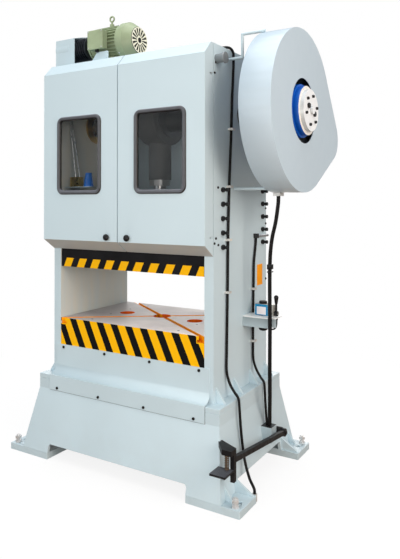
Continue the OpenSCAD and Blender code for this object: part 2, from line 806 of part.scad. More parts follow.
// Connecting rod: a strap round the eccentric with a stem bored for the ball screw
module connecting_rod() {
    rod_w = eccentric_w - rod_gap;
    color("#3a3f44") difference() {
        union() {
            translate([0, 0, pin_z]) bar_x([-rod_w / 2, rod_w / 2], eccentric_r + strap_t);
            translate([0, 0, stem_low]) cylinder(h = pin_z - stem_low, r = stem_r);
        }
        translate([0, 0, pin_z]) bar_x([-rod_w, rod_w], eccentric_r + run_fit);
        translate([0, 0, stem_low - over])
            cylinder(h = pin_z - eccentric_r - strap_t - stem_low, r = screw_r + hole_gap);
    }
}

module ball_screw() {
    lock_r = stem_r - 4;
    color(STEEL) {
        translate([0, 0, ball_z]) sphere(ball_r);
        translate([0, 0, ball_z]) cylinder(h = stem_low + lock_h - ball_z, r = screw_r);
        translate([0, 0, stem_low - lock_h]) cylinder(h = lock_h, r = lock_r, $fn = 8);
    }
}

// Involute gear outline: flank points between the root or base circle and the tip circle
PRESSURE = 20;
FLANK_STEPS = 3;
BACKLASH = 0.25;
function inv(a) = tan(a) * 180 / PI - a;
function polar(r, a) = r * [cos(a), sin(a)];
function gear_points(teeth) =
    let (pitch = gear_m * teeth / 2, base = pitch * cos(PRESSURE), tip = pitch + gear_m,
         root = pitch - 1.25 * gear_m, start = max(base, root),
         slack = BACKLASH / pitch * 180 / PI,
         radii = [for (k = [0 : FLANK_STEPS]) start + (tip - start) * k / FLANK_STEPS],
         half = [for (r = radii) 90 / teeth - slack + inv(PRESSURE) - inv(acos(base / r))])
    [for (i = [0 : teeth - 1]) let (a = i * 360 / teeth) each concat(
        base > root ? [polar(root, a - half[0])] : [],
        [for (k = [0 : FLANK_STEPS]) polar(radii[k], a - half[k])],
        [for (k = [FLANK_STEPS : -1 : 0]) polar(radii[k], a + half[k])],
        base > root ? [polar(root, a + half[0])] : [])];

module bull_gear() {
    root_r = gear_m * (gear_teeth / 2 - 1.25);
    rim_in = root_r - 34;
    dish = 32;
    light = [70, (hub_r + rim_in) / 2];
    color(BLUE) translate([0, 0, crank_z]) difference() {
        union() {
            side_profile([gear_x, gear_x + face_w]) rotate(mesh_slope) polygon(gear_points(gear_teeth));
            bar_x(hub_x, hub_r);
        }
        for (x = [[gear_x - over, gear_x + dish], [gear_x + face_w - dish, gear_x + face_w + over]])
            difference() {
                bar_x(x, rim_in);
                bar_x(x, hub_r);
            }
        for (a = [30 : 60 : 330])
            rotate([a, 0, 0]) translate([0, light[1], 0]) bar_x([gear_x, gear_x + face_w], light[0]);
        bar_x([hub_x[0] - over, hub_x[1] + over], nose_r + run_fit);
    }
}

// Clutch cover on the gear hub: a stepped disc with bolts and a round air inlet
module clutch_cover() {
    bolt_ring = 92;
    bolt_r = 9;
    color("#d9dcdf") translate([0, 0, crank_z]) {
        bar_x([clutch_x[0], clutch_x[1]], clutch_r[0]);
        bar_x([clutch_x[1], clutch_x[2]], clutch_r[1]);
        bar_x([clutch_x[2], clutch_x[3]], clutch_r[2]);
        for (a = [15 : 60 : 315]) rotate([a, 0, 0]) translate([0, bolt_ring, 0])
            bar_x([clutch_x[2] - over, clutch_x[2] + bolt_r], bolt_r);
    }
}

module pinion_shaft() {
    end_gap = 4;
    color(STEEL) translate([0, back_at[0], back_at[1]]) {
        bar_x([fly_x[0] - end_gap, gear_x + face_w + back_end], back_r);
        side_profile([gear_x, gear_x + face_w]) rotate(mesh_slope) polygon(gear_points(pinion_teeth));
    }
}

module shaft_brackets() {
    eye_wall = 40;
    root_h = 150;
    color(PAINT) both_x() side_profile([inner_x, half_w]) difference() {
        union() {
            translate(back_at) circle(back_r + eye_wall);
            polygon([
                [half_d, back_at[1] - root_h], [back_at[0], back_at[1] - back_r - eye_wall],
                [back_at[0], back_at[1] + back_r + eye_wall], [half_d, back_at[1] + root_h]]);
        }
        translate(back_at) circle(back_r + run_fit);
        translate([-half_d, 0]) square([frame_d, frame_top]);
    }
}

// Flywheel: a heavy rim, a thin web with round openings and a hub
module flywheel() {
    rim = 90;
    hub = back_r + 55;
    web = 34;
    light_r = 55;
    mid = fly_w / 2;
    color("#4a5158") translate([fly_x[0], back_at[0], back_at[1]]) rotate([0, 90, 0]) difference() {
        rotate_extrude($fn = 96) polygon([
            [back_r, 0], [hub, 0], [hub, mid - web / 2], [fly_r - rim, mid - web / 2], [fly_r - rim, 0],
            [fly_r, 0], [fly_r, fly_w], [fly_r - rim, fly_w], [fly_r - rim, mid + web / 2],
            [hub, mid + web / 2], [hub, fly_w], [back_r, fly_w]]);
        for (a = [0 : 60 : 300])
            rotate(a) translate([(hub + fly_r - rim) / 2, 0, -over])
                cylinder(h = fly_w + 2 * over, r = light_r);
    }
}

// Belts run from the motor pulley round the flywheel's flat rim
belt_xs = [for (k = [0 : belt_count - 1]) fly_x[0] + fly_w / 2 + (k - (belt_count - 1) / 2) * groove_pitch];
pulley_x = [belt_xs[0] - 0.75 * groove_pitch, motor_x[0] - motor_gap];
pulley_w = pulley_x[1] - pulley_x[0];
module v_belts() {
    color(BLACK) for (x = belt_xs) side_profile([x - belt_w / 2, x + belt_w / 2]) difference() {
        pear(back_at, fly_r + belt_gap + belt_t, motor_at, belt_seat + belt_t);
        pear(back_at, fly_r + belt_gap, motor_at, belt_seat);
    }
}

module guard_outline(cut) {
    pear([0, crank_z], guard_r - cut, back_at, guard_small_r - cut);
}

module gear_guard() {
    color("#bcc6cd") {
        side_profile(guard_x) difference() {
            guard_outline(0);
            guard_outline(sheet_t);
        }
        side_profile([guard_x[1] - sheet_t, guard_x[1]]) difference() {
            guard_outline(0);
            translate([0, crank_z]) circle(guard_hole_r, $fn = 96);
        }
    }
}

// Bars from the right column to the gear guard's rim: a bent one above, a straight one below
module guard_stays() {
    seat = guard_r + stay_r;
    seat_in = guard_r - sheet_t - stay_r;
    foot_z = frame_top - stay_drop;
    upper_a = 112;
    lower_a = -102.3;
    lap = 25;
    upper = [seat * cos(upper_a), crank_z + seat * sin(upper_a)];
    turn_x = half_w + stay_out;
    color(PAINT) {
        translate([0, upper[0], 0]) {
            translate([0, 0, foot_z]) bar_x([half_w, turn_x], stay_r);
            translate([0, 0, upper[1]]) bar_x([turn_x, guard_x[0] + lap], stay_r);
            translate([turn_x, 0, foot_z]) cylinder(h = upper[1] - foot_z, r = stay_r);
            translate([turn_x, 0, foot_z]) sphere(stay_r);
            translate([turn_x, 0, upper[1]]) sphere(stay_r);
        }
        translate([0, seat_in * cos(lower_a), crank_z + seat_in * sin(lower_a)])
            bar_x([half_w, guard_x[0] + 4 * lap], stay_r);
    }
}

// Belt guard: a shell round the flywheel and the belts, open to the column, with a box nose
module belt_guard_outline(cut) {
    pear(back_at, belt_guard_r - cut, motor_at, pulley_r + nose_gap - cut);
    polygon(inset([
        [nose_box[0], frame_top + over], [nose_box[1], frame_top + over],
        [nose_box[1], nose_box[3]], [nose_box[0], nose_box[2]]], cut));
}

module belt_guard() {
    inner = -half_w - guard_gap;
    nose_x = nose_in - half_w;
    screw_clear = 2 * gib_screw_r + guard_gap;
    color(PAINT) {
        side_profile([belt_guard_x, inner]) difference() {
            belt_guard_outline(0);
            belt_guard_outline(sheet_t);
            for (p = gib_spots) translate(p) circle(screw_clear);
        }
        side_profile([belt_guard_x, belt_guard_x + sheet_t]) belt_guard_outline(0);
        span([inner - over, nose_box[0], frame_top], [nose_x, nose_box[0] + sheet_t, nose_box[2]]);
        side_profile([inner - over, nose_x]) polygon([
            [nose_box[0], nose_box[2] - sheet_t], [nose_box[1], nose_box[3] - sheet_t],
            [nose_box[1], nose_box[3]], [nose_box[0], nose_box[2]]]);
    }
}

// Side outline of a door, counterclockwise, with its open back at y = back
function door_outline(back) = [
    [back, door_z[0]], [back, door_z[3]], [-half_d - door_lip, door_z[3]],
    [-half_d - door_d, door_z[2]], [-half_d - door_d, door_z[1]]];
module window_outline(cut) {
    translate([window_x, window_z]) round_rect(window - [2 * cut, 2 * cut], window_r - cut);
}
glass_cut = gasket_w;
door_cut = gasket_w / 2;
face_y = -half_d - door_d;

// Door folded from sheet, with its window, knob hole and the moving halves of its hinges
module door() {
    back = -half_d - door_back;
    eye_h = 22;
    eye_r = hinge_lug[0] / 2 + 2;
    notch = [hinge_at[1] - 1.6 * hinge_lug[0], back + over];
    difference() {
        side_profile([door_gap / 2, half_w]) polygon(door_outline(back));
        side_profile([door_gap / 2 + door_t, half_w - door_t])
            polygon(inset(door_outline(back + 3 * door_t), door_t));
        front_profile([face_y - over, face_y + door_t + over]) window_outline(door_cut);
        translate([knob_at[0], 0, knob_at[1]])
            bar_y([face_y - over, face_y + door_t + over], knob_r / 3 + run_fit);
        for (z = hinge_z)
            span([half_w - 2 * hinge_lug[0], notch[0], z - over],
                 [half_w + over, notch[1], z + hinge_lug[1] + over]);
    }
    for (z = hinge_z) difference() {
        span([hinge_at[0] - eye_r, hinge_at[1] - eye_r, z + hinge_lug[1] + over],
             [half_w - door_t / 2, hinge_at[1] + eye_r, z + hinge_lug[1] + over + eye_h]);
        translate([hinge_at[0], hinge_at[1], z]) cylinder(h = 5 * hinge_lug[1], r = hinge_r + run_fit);
    }
}

// Rubber gasket: a bead on the door's face and a web through its opening
module gasket() {
    bead = 9;
    web_in = 12;
    front_profile([face_y - bead, face_y]) difference() {
        window_outline(0);
        window_outline(glass_cut);
    }
    front_profile([face_y - over, face_y + web_in]) difference() {
        window_outline(door_cut);
        window_outline(glass_cut);
    }
}

module pane() {
    front_profile([face_y + over, face_y + over + pane_t]) window_outline(glass_cut);
}

// Latch: a round knob with a grip ridge, its shank and the tongue behind the sheet
module knob() {
    shank = knob_r / 3;
    knob_h = 16;
    tongue = [14, 46, 5];
    back = face_y + door_t;
    translate([knob_at[0], 0, knob_at[1]]) {
        bar_y([face_y - hole_gap - knob_h, face_y - hole_gap], knob_r);
        bar_y([face_y - hole_gap - over, back + hole_gap + tongue[2]], shank);
        translate([-knob_r / 4, face_y - hole_gap - 1.5 * knob_h, -0.8 * knob_r])
            cube([knob_r / 2, knob_h, 1.6 * knob_r]);
        translate([-tongue[0] / 2, back + hole_gap, -tongue[0] / 2]) cube([tongue[0], tongue[2], tongue[1]]);
    }
}

module right_door() {
    color(PAINT) door();
}
module right_gasket() {
    color(BLACK) gasket();
}
module right_pane() {
    color("#30383c", 0.6) pane();
}
module right_knob() {
    color(BLACK) knob();
}
module left_door() {
    color(PAINT) mirror([1, 0, 0]) door();
}
module left_gasket() {
    color(BLACK) mirror([1, 0, 0]) gasket();
}
module left_pane() {
    color("#30383c", 0.6) mirror([1, 0, 0]) pane();
}
module left_knob() {
    color(BLACK) mirror([1, 0, 0]) knob();
}

// Places its children on the motor's axis
module on_motor() {
    translate([0, motor_at[0], motor_at[1]]) children();
}
bed_z = motor_at[1] - motor_h;
shield_l = 30;

// Finned stator frame on two feet
module motor_frame() {
    barrel = [motor_x[0] + shield_l, motor_x[1]];
    fin_t = 5;
    fin_in = 12;
    foot_x = [[barrel[0] + 40, barrel[0] + 90], [barrel[1] - 110, barrel[1] - 60]];
    foot_y = 108;
    foot_h = 14;
    color(GREEN) on_motor() difference() {
        union() {
            bar_x(barrel, motor_r);
            for (k = [0 : fin_count - 1]) rotate([(k + 0.5) * 360 / fin_count, 0, 0])
                span([barrel[0] + fin_in, 0, -fin_t / 2], [barrel[1] - fin_in, motor_r + fin_h, fin_t / 2]);
            bar_x([barrel[1] - fin_in, barrel[1] + cowl_lap], cowl_r - cowl_wall - hole_gap);
            for (x = foot_x) {
                span([x[0], -foot_y, bed_z - motor_at[1]], [x[1], foot_y, bed_z - motor_at[1] + foot_h]);
                span([x[0], -0.7 * motor_r, bed_z - motor_at[1]], [x[1], 0.7 * motor_r, -motor_r / 2]);
            }
        }
        bar_x([barrel[0] - over, barrel[1] + cowl_lap + over], motor_shaft_r + run_fit);
    }
}

module motor_end_shield() {
    color(GREEN) on_motor() difference() {
        union() {
            bar_x([motor_x[0] + shield_l / 2, motor_x[0] + shield_l], motor_r + fin_h / 2);
            bar_x([motor_x[0], motor_x[0] + shield_l], 0.6 * motor_r);
        }
        bar_x([motor_x[0] - over, motor_x[0] + shield_l + over], motor_shaft_r + run_fit);
    }
}

fan_in = 10;
fan_x = motor_x[1] + fan_in;
fan_w = 32;
module motor_shaft() {
    ends = [3, 8];
    color(STEEL) on_motor() bar_x([pulley_x[0] - ends[0], fan_x + fan_w + ends[1]], motor_shaft_r);
}

// Pulley turned from solid, with a row of V grooves
module motor_pulley() {
    mouth = groove_pitch - 4;
    floor_w = belt_w + 1.4;
    first = belt_xs[0] - pulley_x[0];
    count = floor((pulley_w - first - mouth / 2) / groove_pitch);
    low = pulley_r - groove_d;
    color(BLACK) on_motor() translate([pulley_x[0], 0, 0]) rotate([0, 90, 0])
        rotate_extrude() polygon(concat(
            [[motor_shaft_r, 0], [pulley_r, 0]],
            [for (k = [0 : count]) let (c = first + k * groove_pitch) each [
                [pulley_r, c - mouth / 2], [low, c - floor_w / 2],
                [low, c + floor_w / 2], [pulley_r, c + mouth / 2]]],
            [[pulley_r, pulley_w], [motor_shaft_r, pulley_w]]));
}

module motor_fan() {
    blades = 8;
    blade_t = 4;
    blade_w = fan_w;
    tip = cowl_r - 22;
    hub = motor_shaft_r + 14;
    color(BLACK) on_motor() difference() {
        union() {
            bar_x([fan_x, fan_x + blade_w], hub);
            for (k = [0 : blades - 1]) rotate([k * 360 / blades, 0, 0])
                span([fan_x + over, hub - 2 * over, -blade_t / 2],
                     [fan_x + blade_w - over, tip, blade_t / 2]);
        }
        bar_x([fan_x - over, fan_x + blade_w + over], motor_shaft_r);
    }
}

// Fan cowl: a drum with a rounded end that narrows to a flat face with radial air slots
module fan_cowl() {
    wall = cowl_wall;
    face_r = cowl_r - cowl_cone[0];
    turn = cowl_l - cowl_cone[1];
    slots = 16;
    slot = [9, 50];
    slot_rim = 8;
    color(GREEN) on_motor() translate([motor_x[1], 0, 0]) rotate([0, 90, 0]) difference() {
        rotate_extrude() difference() {
            polygon([[0, 0], [cowl_r, 0], [cowl_r, turn], [face_r, cowl_l], [0, cowl_l]]);
            polygon([
                [-over, -over], [cowl_r - wall, -over], [cowl_r - wall, turn],
                [face_r - wall, cowl_l - wall], [-over, cowl_l - wall]]);
            translate([-2 * cowl_r, -over]) square([2 * cowl_r, 2 * cowl_l]);
        }
        for (k = [0 : slots - 1]) rotate(k * 360 / slots)
            translate([face_r - slot_rim - slot[1], -slot[0] / 2, cowl_l - wall - over])
                cube([slot[1], slot[0], wall + 2 * over]);
    }
}

module terminal_box() {
    size = [130, 56, 126];
    lid = 8;
    rim = 4;
    in = 75;
    drop = 65;
    at = [motor_x[1] - in, motor_at[0] - motor_r - fin_h, motor_at[1] - drop];
    color(GREEN) {
        span([at[0] - size[0], at[1] - size[1] + lid, at[2]], [at[0], at[1], at[2] + size[2]]);
        span([at[0] - size[0] - rim, at[1] - size[1], at[2] - rim],
             [at[0] + rim, at[1] - size[1] + lid, at[2] + size[2] + rim]);
    }
}

module eyebolt() {
    wire = 6;
    in = 136;
    collar = [22, 16];
    shank = [42, 7];
    ring_z = 36;
    at = [motor_x[1] - in, motor_at[0], motor_at[1] + motor_r + fin_h];
    color(GREEN) translate(at) {
        cylinder(h = collar[0], r = collar[1]);
        cylinder(h = shank[0], r = shank[1]);
        translate([0, 0, ring_z + eye_r]) rotate([90, 0, 0])
            rotate_extrude() translate([eye_r - wire, 0]) circle(wire, $fn = 24);
    }
}

// Motor bed: a plate on two rails, with an upright tension bracket at the front
module motor_bed() {
    half_bed = 130;
    ends = [-85, -60];
    plate = [[motor_x[0] + ends[0], motor_at[0] - half_bed], [motor_x[1] + ends[1], motor_at[0] + half_bed]];
    plate_t = 16;
    rail = 40;
    upright_t = 12;
    upright = [229, 154, 52];
    color(PAINT) {
        span([plate[0][0], plate[0][1], bed_z - plate_t], [plate[1][0], plate[1][1], bed_z]);
        for (x = [plate[0][0], plate[1][0] - rail])
            span([x, plate[0][1], frame_top], [x + rail, plate[1][1], bed_z - plate_t + over]);
        front_profile([plate[0][1] - upright_t, plate[0][1]])
            polygon([
                [motor_x[1] - upright[0], frame_top], [plate[1][0], frame_top],
                [plate[1][0], bed_z + upright[2]], [motor_x[1] - upright[1], bed_z + upright[2]]]);
    }
}

module lifting_pins() {
    at = [half_d - lift_in[0], frame_top - lift_in[1]];
    rim = [10, 1.25 * lift_r];
    color(PAINT) both_x() translate([0, -at[0], at[1]]) {
        bar_x([half_w, half_w + lift_out], lift_r);
        bar_x([half_w + lift_out - rim[0], half_w + lift_out], rim[1]);
    }
}

module conduits() {
    strand = [0, 2 * conduit_r + 1, 0];
    color(BLACK) {
        tube(route_front, conduit_r);
        tube(route_rear, conduit_r);
        tube(route_hanging, conduit_r);
        tube([for (p = route_hanging) p + strand], conduit_r);
    }
}

// Clips, end glands, the hanging pair's tie and the switch box that the conduits run to
module clip(at) {
    size = [2 * conduit_r + 14, 34, 14];
    bore = conduit_r + 2;
    difference() {
        span([half_w, at[1] - size[1] / 2, at[2] - size[2] / 2],
             [half_w + size[0], at[1] + size[1] / 2, at[2] + size[2] / 2]);
        translate([at[0], at[1], at[2] - size[2]]) cylinder(h = 2 * size[2], r = bore);
    }
}

module conduit_fittings() {
    gland_r = 15;
    gland_h = 42;
    hook = [24, 20, 40];
    box_in = [144, 64];
    box_y = [treadle_pivot[0] - box_in[0], treadle_pivot[0] - box_in[1]];
    box_z = [186, 284];
    box_out = 176;
    color("#8d9196") {
        for (k = [11 : 14]) clip(route_front[k]);
        for (k = [4, 6]) clip(route_rear[k]);
        translate([route_front[len(route_front) - 1][0], foot_d - half_foot[1] + gland_r, 0])
            cylinder(h = gland_h, r = gland_r);
        span([route_front[0][0] - 2 * gland_r, route_front[0][1] - gland_r, frame_top],
             [route_front[0][0], route_front[0][1] + gland_r, route_front[0][2] + gland_r]);
        span([half_w, route_rear[0][1] - gland_r, route_rear[0][2]],
             [half_w + 2 * gland_r - 3, route_rear[0][1] + gland_r, route_rear[0][2] + 2 * gland_r]);
        difference() {
            span([route_hanging[0][0] - hook[0], route_hanging[0][1] - hook[1], route_hanging[0][2]],
                 [route_hanging[0][0] + hook[0], route_hanging[0][1] + hook[2], crank_z - guard_r + hook[1]]);
            side_profile([guard_x[0] - 2 * over, guard_x[1]]) guard_outline(0);
        }
        difference() {
            span([half_rim[0], box_y[0], box_z[0]], [half_w + box_out, box_y[1], box_z[1]]);
            base_solid(0, foot_t, lid_z);
        }
    }
}

// Shelf bent from sheet: a top, a flange on the column, one at the front and one at the outer end
module lubricator_shelf() {
    t = 6;
    top = [half_w, half_w + shelf_out];
    low = shelf_z - shelf_flange;
    color(PAINT) difference() {
        union() {
            span([top[0], shelf_y[0], shelf_z - t], [top[1], shelf_y[1], shelf_z]);
            span([top[0], shelf_y[0], low], [top[0] + t, shelf_y[1], shelf_z]);
            span([top[0], shelf_y[0], low], [top[1], shelf_y[0] + t, shelf_z]);
        }
        translate([pump_at[0] + pump[0] / 2, pump_at[1] + pump[1] / 2, low])
            cylinder(h = shelf_flange + over, r = bowl_r + hole_gap);
    }
}

// Pump block with a filler cap on top, the oil bowl under the shelf and a pivot boss for the lever
pump_in = [62, 6];
pump_at = [half_w + pump_in[0], shelf_y[1] - pump[1] - pump_in[1]];
lever_up = 17;
lever_pivot = [pump_at[1] + pump[1] / 2, shelf_z + lever_up];
lever_pin_r = 8;
lever_gap = 34;
lever_pin_l = 26;
lever_x = pump_at[0] + pump[0] + lever_gap;
module lubricator_pump() {
    bowl_h = 102;
    cap = [26, 18];
    color("#7f8b92") {
        translate([pump_at[0], pump_at[1], shelf_z]) cube(pump);
        translate([pump_at[0] + pump[0] / 2, pump_at[1] + pump[1] / 2, shelf_z - bowl_h])
            cylinder(h = bowl_h + over, r = bowl_r);
        translate([pump_at[0] + pump[0] / 2, pump_at[1] + pump[1] / 2, shelf_z + pump[2] - over])
            cylinder(h = cap[1] + over, r = cap[0]);
        translate([0, lever_pivot[0], lever_pivot[1]]) {
            bar_x([pump_at[0] + pump[0] - over, lever_x - hole_gap], 2 * lever_pin_r);
            bar_x([lever_x - over, lever_x + lever_pin_l], lever_pin_r);
        }
    }
}

// Hand lever on the pump's pivot, with a tapered knob at its top
module lubricator_lever() {
    rod_r = 7;
    rise = 62;
    grip = [9, 15];
    knob_h = 42;
    eye_w = 22;
    color(BLACK) translate([lever_x, lever_pivot[0], lever_pivot[1]]) {
        difference() {
            union() {
                bar_x([0, eye_w], 2 * lever_pin_r);
                translate([eye_w / 2, 0, 1.5 * lever_pin_r]) cylinder(h = rise, r = rod_r);
            }
            bar_x([-over, eye_w + over], lever_pin_r + run_fit);
        }
        translate([eye_w / 2, 0, rise]) cylinder(h = knob_h, r1 = grip[0], r2 = grip[1]);
        translate([eye_w / 2, 0, rise + knob_h]) sphere(grip[1]);
    }
}

// Treadle: a bar from the rear pivot to a front arm that carries the pedal plate
treadle_arm = [24, 28];
module treadle() {
    lean = treadle_pivot - treadle_front;
    eye_wall = 14;
    eye_r = treadle_pin_r + eye_wall;
    half = treadle_bar_size / 2;
    arm_front = treadle_front[0] - treadle_arm[1] / 2;
    plate_t = 12;
    color(BLACK) translate([treadle_x, 0, 0]) difference() {
        union() {
            translate([0, treadle_pivot[0], treadle_pivot[1]]) rotate([atan2(lean[1], lean[0]), 0, 0])
                span([over - half[0], -norm(lean), -half[1]], [half[0] - over, -treadle_pin_r, half[1]]);
            translate([0, treadle_pivot[0], treadle_pivot[1]]) bar_x([-half[0], half[0]], eye_r);
            span([-treadle_arm[0] / 2, treadle_front[0] - treadle_arm[1] / 2, arm_z[0]],
                 [treadle_arm[0] / 2, treadle_front[0] + treadle_arm[1] / 2, arm_z[1]]);
            span([treadle_arm[0] / 2 - pedal[0], arm_front - pedal[1], pedal_z - plate_t],
                 [treadle_arm[0] / 2 - over, arm_front + over, pedal_z]);
        }
        translate([0, treadle_pivot[0], treadle_pivot[1]])
            bar_x([-half[0] - over, half[0] + over], treadle_pin_r + run_fit);
    }
}

// Brackets on the base wall: the front one stops the arm, the rear one carries the pivot pin
module treadle_brackets() {
    stop_h = 30;
    stop_l = 62;
    stop_seat = 15;
    stop_y = [treadle_front[0] - treadle_arm[1] / 2 - stop_h, treadle_front[0] + treadle_arm[1] / 2];
    stop_x = treadle_x + treadle_arm[0] / 2;
    boss_wall = 18;
    pin_out = 8;
    boss_r = treadle_pin_r + boss_wall;
    pin_end = treadle_x + treadle_bar_size[0] / 2 + pin_out;
    color(BLACK) {
        difference() {
            translate([0, 0, arm_z[1] + hole_gap]) linear_extrude(stop_h - hole_gap) polygon([
                [half_rim[0], stop_seat - half_rim[1]], [half_rim[0], -stop_seat - half_rim[1]],
                [stop_x - stop_l, stop_y[0]], [stop_x, stop_y[0]], [stop_x, stop_y[1]]]);
            base_solid(0, foot_t, lid_z);
        }
        translate([0, treadle_pivot[0], treadle_pivot[1]]) {
            difference() {
                bar_x([half_rim[0], treadle_x - treadle_bar_size[0] / 2 - hole_gap], boss_r);
                translate([0, -treadle_pivot[0], -treadle_pivot[1]]) base_solid(0, foot_t, lid_z);
            }
            bar_x([treadle_x - treadle_bar_size[0] / 2 - over, pin_end], treadle_pin_r);
        }
    }
}

// Return spring of the treadle, wound between the stop bracket and the pedal plate
module treadle_spring() {
    coil_r = 11;
    coil_gap = 4;
    wire = 2.5;
    turns = 7;
    steps = 10;
    low = pedal_z + hole_gap + wire;
    high = arm_z[1] - wire;
    count = turns * steps;
    at = [
        treadle_x - treadle_arm[0] / 2 - 1.2 * coil_r,
        treadle_front[0] - treadle_arm[1] / 2 - coil_r - coil_gap];
    color("#6b5646") tube([for (k = [0 : count]) let (a = k * 360 / steps)
        [at[0] + coil_r * cos(a), at[1] + coil_r * sin(a), low + (high - low) * k / count]], wire);
}

// Oil pieces inside the left door: shelf on the column, brass distributor with two tubes, cup
oil_in = 31;
oil_at = [-inner_x, oil_in - half_d, gib_z[1] + over];
oil_size = [240, 90, 6];
oil_t = oil_size[2];
module oil_shelf() {
    color(PAINT) span(oil_at, oil_at + oil_size);
}

module oil_distributor() {
    block = [75, 50, 68];
    low = oil_at + [37, 20, oil_t];
    mid = block[1] / 2;
    pipe_r = 5;
    straight = [12, 20];
    bend_z = 461;
    top_z = frame_top - crown_t - low[2];
    rise = [[28, -24], [66, -7]];
    color("#b5892e") {
        translate(low) cube(block);
        for (x = rise) tube([
            low + [x[0], mid, block[2] - over], low + [x[0], mid, block[2] + straight[0]],
            low + [x[1], mid, bend_z], low + [x[1], mid, bend_z + straight[1]],
            low + [x[1], mid, top_z]], pipe_r);
    }
}

module oil_cup() {
    size = [22, 36, 96];
    at = [188, oil_size[1] / 2, oil_t];
    color("#1769c9") translate(oil_at + at) cylinder(h = size[2], r1 = size[1], r2 = size[0]);
}

base_end_walls();
base_side_walls();
base_lid();
foot_plates();
levelling_bolts();
gussets();
left_column();
right_column();
crown_top_plate();
crown_rear_plate();
bed_plate();
bed_ribs();
bolster();
apron();
apron_screws();
gibs();
gib_screws();
slide();
crank_bushes();
crankshaft();
connecting_rod();
ball_screw();
bull_gear();
clutch_cover();
pinion_shaft();
shaft_brackets();
flywheel();
v_belts();
gear_guard();
guard_stays();
belt_guard();
left_door();
left_gasket();
left_pane();
left_knob();
right_door();
right_gasket();
right_pane();
right_knob();
motor_frame();
motor_end_shield();
motor_shaft();
motor_pulley();
motor_fan();
fan_cowl();
terminal_box();
eyebolt();
motor_bed();
lifting_pins();
conduits();
conduit_fittings();
lubricator_shelf();
lubricator_pump();
lubricator_lever();
treadle();
treadle_brackets();
treadle_spring();
oil_shelf();
oil_distributor();
oil_cup();
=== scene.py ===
import json
import math
from collections import namedtuple

import bmesh
import bpy
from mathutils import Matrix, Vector


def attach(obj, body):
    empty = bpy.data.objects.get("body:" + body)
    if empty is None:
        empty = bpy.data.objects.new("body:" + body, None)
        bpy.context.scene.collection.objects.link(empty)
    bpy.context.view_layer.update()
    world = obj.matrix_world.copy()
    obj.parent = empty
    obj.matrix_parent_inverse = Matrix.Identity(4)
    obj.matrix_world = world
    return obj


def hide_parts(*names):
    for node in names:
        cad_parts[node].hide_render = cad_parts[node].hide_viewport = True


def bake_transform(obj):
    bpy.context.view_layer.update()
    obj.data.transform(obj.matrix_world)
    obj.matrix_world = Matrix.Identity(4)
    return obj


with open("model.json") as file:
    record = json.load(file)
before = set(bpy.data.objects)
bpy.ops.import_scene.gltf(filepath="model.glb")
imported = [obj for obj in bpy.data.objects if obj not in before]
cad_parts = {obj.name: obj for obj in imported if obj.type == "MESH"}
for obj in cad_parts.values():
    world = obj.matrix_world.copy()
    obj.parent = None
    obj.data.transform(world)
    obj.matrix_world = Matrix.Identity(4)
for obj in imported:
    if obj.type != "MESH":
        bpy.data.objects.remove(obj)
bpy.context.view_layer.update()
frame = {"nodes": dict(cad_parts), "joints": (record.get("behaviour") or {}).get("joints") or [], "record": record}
NODES = frame["nodes"]
PIVOT = {j["name"]: j["pos_m"] for j in frame["joints"] if j.get("pos_m")}
scene = bpy.context.scene
scene.view_settings.view_transform = "Standard"

# Axes that the frame gives, in metres

MM_PER_M = 1000
CRANK_Z = PIVOT["crank_turn"][2]
MOTOR_Y, MOTOR_Z = PIVOT["motor_spin"][1:]
LEVER_Y, LEVER_Z = PIVOT["lubricator_pull"][1:]
KNOB_X, KNOB_Z = PIVOT["right_latch"][0], PIVOT["right_latch"][2]

# Directions in the frame

RIGHT, BACK, UP = (1, 0, 0), (0, 1, 0), (0, 0, 1)
FRONT, DOWN = (0, -1, 0), (0, 0, -1)

# Colours, linear RGB

PAINT = (0.560, 0.690, 0.755)
YELLOW = (0.96, 0.50, 0.004)
GREEN = (0.355, 0.435, 0.268)
BLACK = (0.006, 0.006, 0.007)
SOOT = (0.008, 0.008, 0.009)
BRONZE = (0.50, 0.34, 0.13)
DUST = (0.36, 0.34, 0.31)
# Pale warm tone of the oil streaks and painted light on the columns' inward faces
OIL_AND_LIGHT_TONE = (0.76, 0.69, 0.54)
# Warm tone of the painted shade on faces that look down
UNDER_SHADE = (0.34, 0.25, 0.18)
SEAM_DARK = (0.10, 0.11, 0.12)
WORN_STRIPE = (0.30, 0.28, 0.25)
WORN_SLIDE = (0.20, 0.18, 0.16)


# Node graphs

Relief = namedtuple("Relief", "height strength depth")


